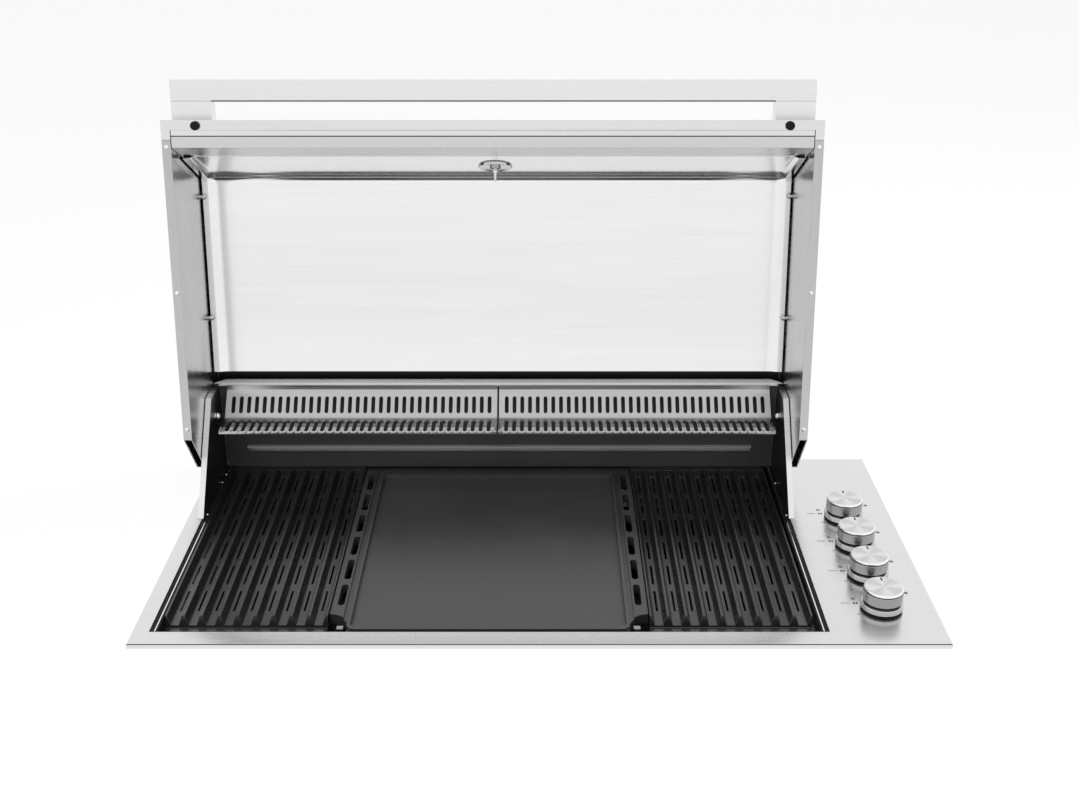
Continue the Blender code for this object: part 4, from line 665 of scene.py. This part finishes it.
def rack_places():
    """The rack's upper surface as (y, z) by the length along it, with rounded bends."""
    corners = [Vector(p) for p in (
        (0.3990, 0.0974), (0.3990, 0.1024), (0.4430, 0.1024),
        (0.4705, 0.1315), (0.4725, 0.1354), (0.4725, 0.1434))]
    radii = (0.0016, 0.003, 0.003, 0.002)
    points = [corners[0]]
    for radius, before, corner, after in zip(radii, corners, corners[1:], corners[2:]):
        start = corner + (before - corner).normalized() * radius
        end = corner + (after - corner).normalized() * radius
        for index in range(6):
            share = index / 5
            points.append(start.lerp(corner, share).lerp(corner.lerp(end, share), share))
    points.append(corners[-1])
    return points


def make_racks():
    """Each rack as one grid of faces round its slots, folded along the rack's section and thickened."""
    points = rack_places()
    lengths = [0.0]
    for before, after in zip(points, points[1:]):
        lengths.append(lengths[-1] + (after - before).length)
    total = lengths[-1]
    slope_start = lengths[12]
    half = RACK_SLOT_HALF
    rounding = [(half * math.cos(math.radians(a)), half * math.sin(math.radians(a))) for a in range(0, 181, 30)]
    inner = [x for x, _ in rounding[2:5]][::-1]
    slots = ((0.0042, 0.0395), (slope_start + 0.0052, slope_start + 0.0320))
    edges = [(low - 0.0010, high + 0.0010) for low, high in slots]
    bends = [length for length in lengths if 0 < length < total]

    def at(length):
        for index in range(len(points) - 1):
            if length <= lengths[index + 1] + 1e-9:
                share = (length - lengths[index]) / (lengths[index + 1] - lengths[index])
                return points[index].lerp(points[index + 1], share)
        return points[-1]

    def bends_between(low, high):
        return [length for length in bends if low + NEAR < length < high - NEAR]

    levels = {0.0, total, *[length for length in bends if not any(low < length < high for low, high in edges)]}
    for slot, (low, high) in zip(slots, edges):
        first, last = slot[0] + half, slot[1] - half
        levels |= {low, first, *bends_between(first, last), last, high}
    levels = sorted(levels)

    for side, (left, right) in (("left", RACK_X[:2]), ("right", RACK_X[2:])):
        bm = bmesh.new()
        cache = {}

        def vert(x, length):
            key = (round(x, 6), round(length, 6))
            if key not in cache:
                y, z = at(length)
                cache[key] = bm.verts.new((x, y, z))
            return cache[key]

        def grid(xs, rows):
            for a, b in zip(rows, rows[1:]):
                for x0, x1 in zip(xs, xs[1:]):
                    bm.faces.new((vert(x0, a), vert(x1, a), vert(x1, b), vert(x0, b)))

        def plain(xs, low, high):
            grid(xs, [low] + bends_between(low, high) + [high])

        def slotted(centre, x0, x1, low, high, slot):
            """The faces between a slot's outline and the cell round it."""
            first, last = slot[0] + half, slot[1] - half
            sides = bends_between(first, last)
            ring = [(centre + x, last + y) for x, y in rounding]
            ring += [(centre - half, length) for length in sides[::-1]]
            ring += [(centre - x, first - y) for x, y in rounding]
            ring += [(centre + half, length) for length in sides]
            outer = [(x1, last), (x1, high), *[(centre + x, high) for x in inner[::-1]], (x0, high), (x0, last)]
            outer += [(x0, length) for length in sides[::-1]]
            outer += [(x0, first), (x0, low), *[(centre + x, low) for x in inner], (x1, low), (x1, first)]
            outer += [(x1, length) for length in sides]
            for k in range(len(ring)):
                after = (k + 1) % len(ring)
                bm.faces.new((vert(*ring[k]), vert(*ring[after]), vert(*outer[after]), vert(*outer[k])))

        pitch = (right - left - 2 * RACK_MARGIN) / RACK_SLOTS
        for index in range(RACK_SLOTS):
            centre = left + RACK_MARGIN + pitch * (index + 0.5)
            x0, x1 = left + RACK_MARGIN + pitch * index, left + RACK_MARGIN + pitch * (index + 1)
            xs = [x0] + [centre + x for x in inner] + [x1]
            plain(xs, 0.0, edges[0][0])
            slotted(centre, x0, x1, *edges[0], slots[0])
            plain(xs, edges[0][1], edges[1][0])
            slotted(centre, x0, x1, *edges[1], slots[1])
            plain(xs, edges[1][1], total)
        for ends in ((left, left + RACK_MARGIN), (right - RACK_MARGIN, right)):
            grid(ends, levels)
        bmesh.ops.remove_doubles(bm, verts=bm.verts, dist=MERGE)
        name = f"warming_rack_{side}"
        mesh = mesh_of(f"{name}_form", bm)
        up = sum(face.normal.z * face.area for face in mesh.polygons)
        rack = piece(f"{name}_form", mesh, BODY_OF[name], "stainless", RACK_STEEL, name)
        thickened(rack, SHEET, -1 if up > 0 else 1).modifiers["Sheet"].use_even_offset = False
        baked(rack)


# Hood


def hood_front(up, inset=0.0):
    """How far back the front wall is at a height."""
    return up * math.tan(HOOD_LEAN) + inset / math.cos(HOOD_LEAN)


def hood_site(x, back, up):
    return HOOD @ Matrix.Translation((x, *hood_yz(back, up)))


def folded(name, path, half, material, inside):
    """A sheet folded across the hood along a path of (back, up); it thickens away from the point inside."""
    bm = bmesh.new()
    rows = [[bm.verts.new(hood_point(x, *place)) for x in (-half, half)] for place in path]
    for row, after in zip(rows, rows[1:]):
        bm.faces.new((row[0], row[1], after[1], after[0]))
    mesh = mesh_of(name, bm)
    obj = piece(name, mesh, BODY_OF["hood_lip"], "stainless", material, "hood_lip")
    first = mesh.polygons[0]
    towards = (hood_point(0, *inside) - first.center).dot(first.normal)
    thickened(obj, 0.0010, -1 if towards > 0 else 1)
    bevelled(obj, 0.0003)


def make_lip():
    """The flat lip with a leg along each side, the hem behind it, and the channel beyond a black block in the
    fold, which is painted shade.
    """
    half, inner = HOOD_WIDTH / 2, HOOD_WIDTH / 2 - SIDE_THICK
    outline = [
        (-half, 0), (half, 0), (half, 0.026), (inner, 0.026), (inner, LIP_DEPTH),
        (-inner, LIP_DEPTH), (-inner, 0.026), (-half, 0.026)]
    bm = bmesh.new()
    bm.faces.new([bm.verts.new(hood_point(x, back, 0)) for x, back in outline])
    mesh = mesh_of("hood_lip_form", bm)
    lip = piece("hood_lip_form", mesh, BODY_OF["hood_lip"], "stainless", LIP_STEEL, "hood_lip")
    face = mesh.polygons[0]
    towards = (hood_point(0, 0, -1) - face.center).dot(face.normal)
    thickened(lip, SHEET, -1 if towards > 0 else 1)
    bevelled(lip, 0.0003)
    half = inner - 0.0006
    folded("hood_hem", ((LIP_DEPTH, 0.0006), *FOLDS), half, LIP_STEEL, (-1, 0.001))
    folded("hood_channel", CHANNEL, half, FOLD_STEEL, (1, 0.02))
    # A black rubber block filling the gap between the hem and the channel: painted shade in the fold
    bm = bmesh.new()
    box(bm, (COOK_X - inner + 0.001, 0, 0), (COOK_X + inner - 0.001, 1, 1))
    for vert in bm.verts:
        back = 0.0197 if vert.co.y < 0.5 else 0.0227
        up = 0.0042 if vert.co.z < 0.5 else 0.0290
        vert.co = hood_point(vert.co.x - COOK_X, back, up)
    piece("hood_fold_shade", mesh_of("hood_fold_shade", bm), BODY_OF["hood_lip"], "rubber", RUBBER)


def make_liner():
    """The pan inside the hood: a border, a fold and a rounded dip to the panel, along wall, bend and top."""
    corner_up = LINER_UP - LINER_BORDER
    corner = Vector((hood_front(corner_up, LINER_GAP + LINER_BORDER), corner_up))
    centre_up = LINER_UP - LINER_BEND
    centre_back = (LINER_GAP + LINER_BEND + centre_up * math.sin(HOOD_LEAN)) / math.cos(HOOD_LEAN)
    centre = Vector((centre_back, centre_up))
    bend = [Vector(p) for p in arc(centre, LINER_BEND, 180 - math.degrees(HOOD_LEAN), 90, 10)]
    foot = Vector((hood_front(LINER_FOOT, LINER_GAP), LINER_FOOT))
    rear = Vector((LINER_REAR, LINER_UP))
    walls = [foot, foot.lerp(bend[0], 0.99)]
    tops = [bend[-1].lerp(rear, 0.003), rear]
    wall_in = Vector((math.cos(HOOD_LEAN), -math.sin(HOOD_LEAN)))
    top_in = Vector((0, -1))
    path = walls + bend + tops
    inwards = [wall_in] * 2 + [(centre - point).normalized() for point in bend] + [top_in] * 2
    start, end = bend[0] + wall_in * LINER_BORDER, bend[-1] + top_in * LINER_BORDER
    border = [point + wall_in * LINER_BORDER for point in walls]
    for index in range(len(bend)):
        share = 2 * index / (len(bend) - 1)
        border.append(start.lerp(corner, share) if share <= 1 else corner.lerp(end, share - 1))
    border += [point + top_in * LINER_BORDER for point in tops]
    section = (
        (LINER_EDGE, -2.2), (LINER_EDGE, 0.85), (LINER_EDGE - 0.0006, 1.0), (0.4170, 1.0), (0.4162, 0.97),
        (0.4156, 0.86), (0.4105, 0.30), (0.4092, 0.18), (0.4075, 0.08), (0.4050, 0.02), (0.4020, 0.0),
        (0.3990, 0.0))
    columns = [(-x, level) for x, level in section] + [(x, level) for x, level in section[::-1]]
    bm = bmesh.new()
    rows = []
    for point, raised, inward in zip(path, border, inwards):
        row = []
        for x, level in columns:
            place = point.lerp(raised, level) if level >= 0 else point + inward * LINER_BORDER * level
            row.append(bm.verts.new(hood_point(x, *place)))
        rows.append(row)
    for row, after in zip(rows, rows[1:]):
        for k in range(len(columns) - 1):
            bm.faces.new((row[k], row[k + 1], after[k + 1], after[k]))
    mesh = mesh_of("hood_liner_form", bm)
    liner = piece("hood_liner_form", mesh, BODY_OF["hood_liner"], "stainless", LINER_STEEL, "hood_liner")
    middle = max(mesh.polygons, key=lambda face: face.area)
    towards = (hood_point(0, 0.25, 0.0) - middle.center).dot(middle.normal)
    thickened(liner, 0.0010, -1 if towards > 0 else 1)
    baked(liner)


def make_hood_shade():
    """A black sheet inside the shell beyond the liner's rear end: painted shade behind the liner."""
    half = HOOD_WIDTH / 2 - SIDE_THICK - 0.0006
    bm = bmesh.new()
    verts = box(bm, (-half, 0.355, 0.1752), (half, 0.470, 0.1764))
    for vert in verts:
        vert.co = hood_point(*vert.co)
    piece("hood_shade", mesh_of("hood_shade", bm), BODY_OF["hood_shell"], "black_enamel", ENAMEL)


def make_hood_nuts():
    """Dome nuts between the liner and the sides, and screws in the sides' edges."""
    body = BODY_OF["hood_liner"]
    bm = bmesh.new()
    profile = lifted(dome(0.0040, 0.0036), 0.0056) + [
        (0.0044, 0.0054), (0.0044, 0.0036), (0.0030, 0.0034), (0.0030, 0.0), (0, 0.0)]
    for x, back in DOME_NUTS:
        sign = 1 if x < 0 else -1
        side = math.copysign(HOOD_WIDTH / 2 - SIDE_THICK, x)
        site = hood_site(side, back, DOME_NUT_RISE)
        turned(bm, profile, 24, site @ Matrix.Rotation(sign * math.pi / 2, 4, "Y"))
    piece("liner_nuts", mesh_of("liner_nuts", bm), body, "bright_steel", POLISHED)
    bm = bmesh.new()
    for x in (-EDGE_SCREW_X, EDGE_SCREW_X):
        for back in EDGE_SCREW_BACKS:
            turned(bm, dome(0.0030, 0.0014) + [(0.0030, -0.0003), (0, -0.0003)], 20,
                   hood_site(x, back, 0.0) @ Matrix.Rotation(math.pi, 4, "X"))
    piece("edge_screws", mesh_of("edge_screws", bm), body, "bright_steel", BRIGHT)


def make_gauge():
    """The thermometer's face on the front wall and its dished seat inside."""
    matrix = HOOD @ Matrix.Translation((0, *hood_yz(hood_front(GAUGE_RISE), GAUGE_RISE))) @ Matrix.Rotation(
        math.pi / 2 - HOOD_LEAN, 4, "X")
    finished("thermometer", BRIGHT)
    finished("thermometer_needle", RED)
    body = BODY_OF["thermometer"]
    seat = -LINER_GAP
    bm = bmesh.new()
    turned(bm, [
        (0.0044, seat - 0.0004), (0.0235, seat - 0.0002), (0.0237, seat - 0.0008), (0.0225, seat - 0.0026),
        (0.0215, seat - 0.0026), (0.0160, seat - 0.0012), (0.0085, seat - 0.0009), (0.0078, seat - 0.0012),
        (0.0076, seat - 0.0042), (0.0066, seat - 0.0048), (0.0044, seat - 0.0050)],
        RING_SIDES, matrix, closed=True)
    piece("thermometer_seat", mesh_of("thermometer_seat", bm), body,
          "dark_steel", POLISHED, "thermometer_nut")
    bm = bmesh.new()
    turned(bm, [(0, 0.00618), (0.0268, 0.00618), (0.0268, 0.00602), (0, 0.00602)], RING_SIDES, matrix)
    piece("dial_face", mesh_of("dial_face", bm), body, "zinc_steel", DIAL)
    bm = bmesh.new()
    for index in range(25):
        turn = matrix @ Matrix.Rotation(math.radians(225 - 270 * index / 24), 4, "Z")
        start, width = (0.0208, 0.0005) if index % 4 == 0 else (0.0228, 0.00028)
        verts = box(bm, (start, -width, 0.00620), (0.0250, width, 0.00626))
        bmesh.ops.transform(bm, matrix=turn, verts=verts)
    piece("dial_ticks", mesh_of("dial_ticks", bm, smooth=False), body, "rubber", INK)
    bm = bmesh.new()
    turned(bm, [(0, 0.0134), (0.0262, 0.0134), (0.0268, 0.0130), (0.0268, 0.0122), (0, 0.0122)],
           RING_SIDES, matrix)
    piece("dial_glass", mesh_of("dial_glass", bm), body, "bright_steel", GLASS)


def make_handle():
    """The handle with a dark strip along the bar's edge as painted shade, and a fine dark seam across each
    bracket.
    """
    refined("hood_handle", "stainless", HANDLE_STEEL, 0.0008, 3)
    inner = HOOD_WIDTH / 2 - 0.006 - 0.054
    outer = HOOD_WIDTH / 2 - 0.0064
    bm = bmesh.new()

    def strip(x0, x1, back0, back1):
        verts = box(bm, (x0, back0, 0.03638), (x1, back1, 0.03655))
        for vert in verts:
            vert.co = hood_point(*vert.co)

    # A dark strip along the bar's lower edge: painted shade
    strip(-inner + 0.0005, inner - 0.0005, -0.0236, -0.0218)
    piece("handle_shade_strip", mesh_of("handle_shade_strip", bm), BODY_OF["hood_handle"], "dark_steel", DARK_STEEL)
    bm = bmesh.new()
    strip(-outer, -inner, -0.0229, -0.0222)
    strip(inner, outer, -0.0229, -0.0222)
    piece("bracket_seams", mesh_of("bracket_seams", bm), BODY_OF["hood_handle"],
          "dark_steel", TRIM_STEEL)


def make_hood():
    refined("hood_shell", "stainless", STEEL, 0.0004)
    for side in ("left", "right"):
        refined(f"hood_side_{side}", "stainless", SIDE_STEEL, 0.0004)
        finished(f"hood_bumper_{side}", RUBBER)
    make_lip()
    make_liner()
    make_hood_shade()
    make_hood_nuts()
    make_gauge()
    make_handle()


# Stage, lamps and camera


def make_stage():
    """The worktop: a pale plane with a cut-out for the grill's body."""
    (left, front), (right, rear) = WORKTOP_HOLE
    mesh = bpy.data.meshes.new("worktop")
    xs, ys = (-WORKTOP_REACH, left, right, WORKTOP_REACH), (-WORKTOP_REACH, front, rear, WORKTOP_REACH)
    verts = [(x, y, 0) for y in ys for x in xs]
    faces = []
    for row in range(3):
        for column in range(3):
            if (row, column) != (1, 1):
                first = row * 4 + column
                faces.append((first, first + 1, first + 5, first + 4))
    mesh.from_pydata(verts, [], faces)
    floor = bpy.data.objects.new("worktop", mesh)
    bpy.context.scene.collection.objects.link(floor)
    material = bpy.data.materials.new("worktop")
    material.use_nodes = True
    tree = material.node_tree
    tree.nodes.clear()
    output = node(tree, "ShaderNodeOutputMaterial")
    matt = node(tree, "ShaderNodeBsdfDiffuse")
    matt.inputs["Color"].default_value = (*grey(0.95), 1)
    glow = node(tree, "ShaderNodeEmission")
    glow.inputs["Strength"].default_value = 1.0
    mix = node(tree, "ShaderNodeMixShader")
    tree.links.new(math_node(tree, "MULTIPLY", seen(tree), WORKTOP_GLOW), mix.inputs["Fac"])
    tree.links.new(matt.outputs["BSDF"], mix.inputs[1])
    tree.links.new(glow.outputs["Emission"], mix.inputs[2])
    tree.links.new(mix.outputs["Shader"], output.inputs["Surface"])
    mesh.materials.append(material)


def seen(tree):
    """1 for camera, glossy and transmission rays, else 0."""
    path = node(tree, "ShaderNodeLightPath")
    total = math_node(tree, "ADD", path.outputs["Is Camera Ray"], path.outputs["Is Glossy Ray"])
    total = math_node(tree, "ADD", total, path.outputs["Is Transmission Ray"])
    return math_node(tree, "MINIMUM", total, 1.0)


def make_world():
    world = bpy.data.worlds.new("studio")
    bpy.context.scene.world = world
    world.use_nodes = True
    tree = world.node_tree
    background = tree.nodes["Background"]
    background.inputs["Color"].default_value = (1, 1, 1, 1)
    tree.links.new(spread(tree, seen(tree), WORLD_LIGHT, 1.0, 0.0, 1.0), background.inputs["Strength"])


def lamp(name, place, target, size, power):
    """A panel of light that the steel doesn't mirror."""
    data = bpy.data.lights.new(name, "AREA")
    data.shape = "RECTANGLE"
    data.size, data.size_y = size
    data.energy = power
    obj = bpy.data.objects.new(name, data)
    obj.location = place
    obj.rotation_euler = (Vector(target) - Vector(place)).to_track_quat("-Z", "Y").to_euler()
    obj.visible_glossy = False
    bpy.context.scene.collection.objects.link(obj)


def make_lamps():
    lamp("key", (1.6, 1.2, 2.2), (0.0, 0.25, 0.05), (1.2, 1.2), 38)
    lamp("top", (-0.3, -0.3, 2.6), (0.0, 0.2, 0.0), (2.4, 1.8), 40)
    lamp("front", (-1.2, -2.4, 1.6), (0.0, 0.2, 0.2), (1.8, 1.4), 22)


def make_camera():
    data = bpy.data.cameras.new("camera")
    data.sensor_width = SENSOR
    data.sensor_fit = "HORIZONTAL"
    data.lens = SENSOR * FOCAL_PIXELS / IMAGE_WIDTH
    obj = bpy.data.objects.new("camera", data)
    obj.location = CAMERA_PLACE
    obj.rotation_euler = (math.radians(90 - CAMERA_PITCH_DEG), 0, 0)
    bpy.context.scene.collection.objects.link(obj)
    bpy.context.scene.camera = obj


make_camera()
make_world()
make_stage()
make_lamps()
make_body()
make_plates()
make_knobs()
make_racks()
make_hood()

bpy.context.scene.view_settings.view_transform = "Standard"
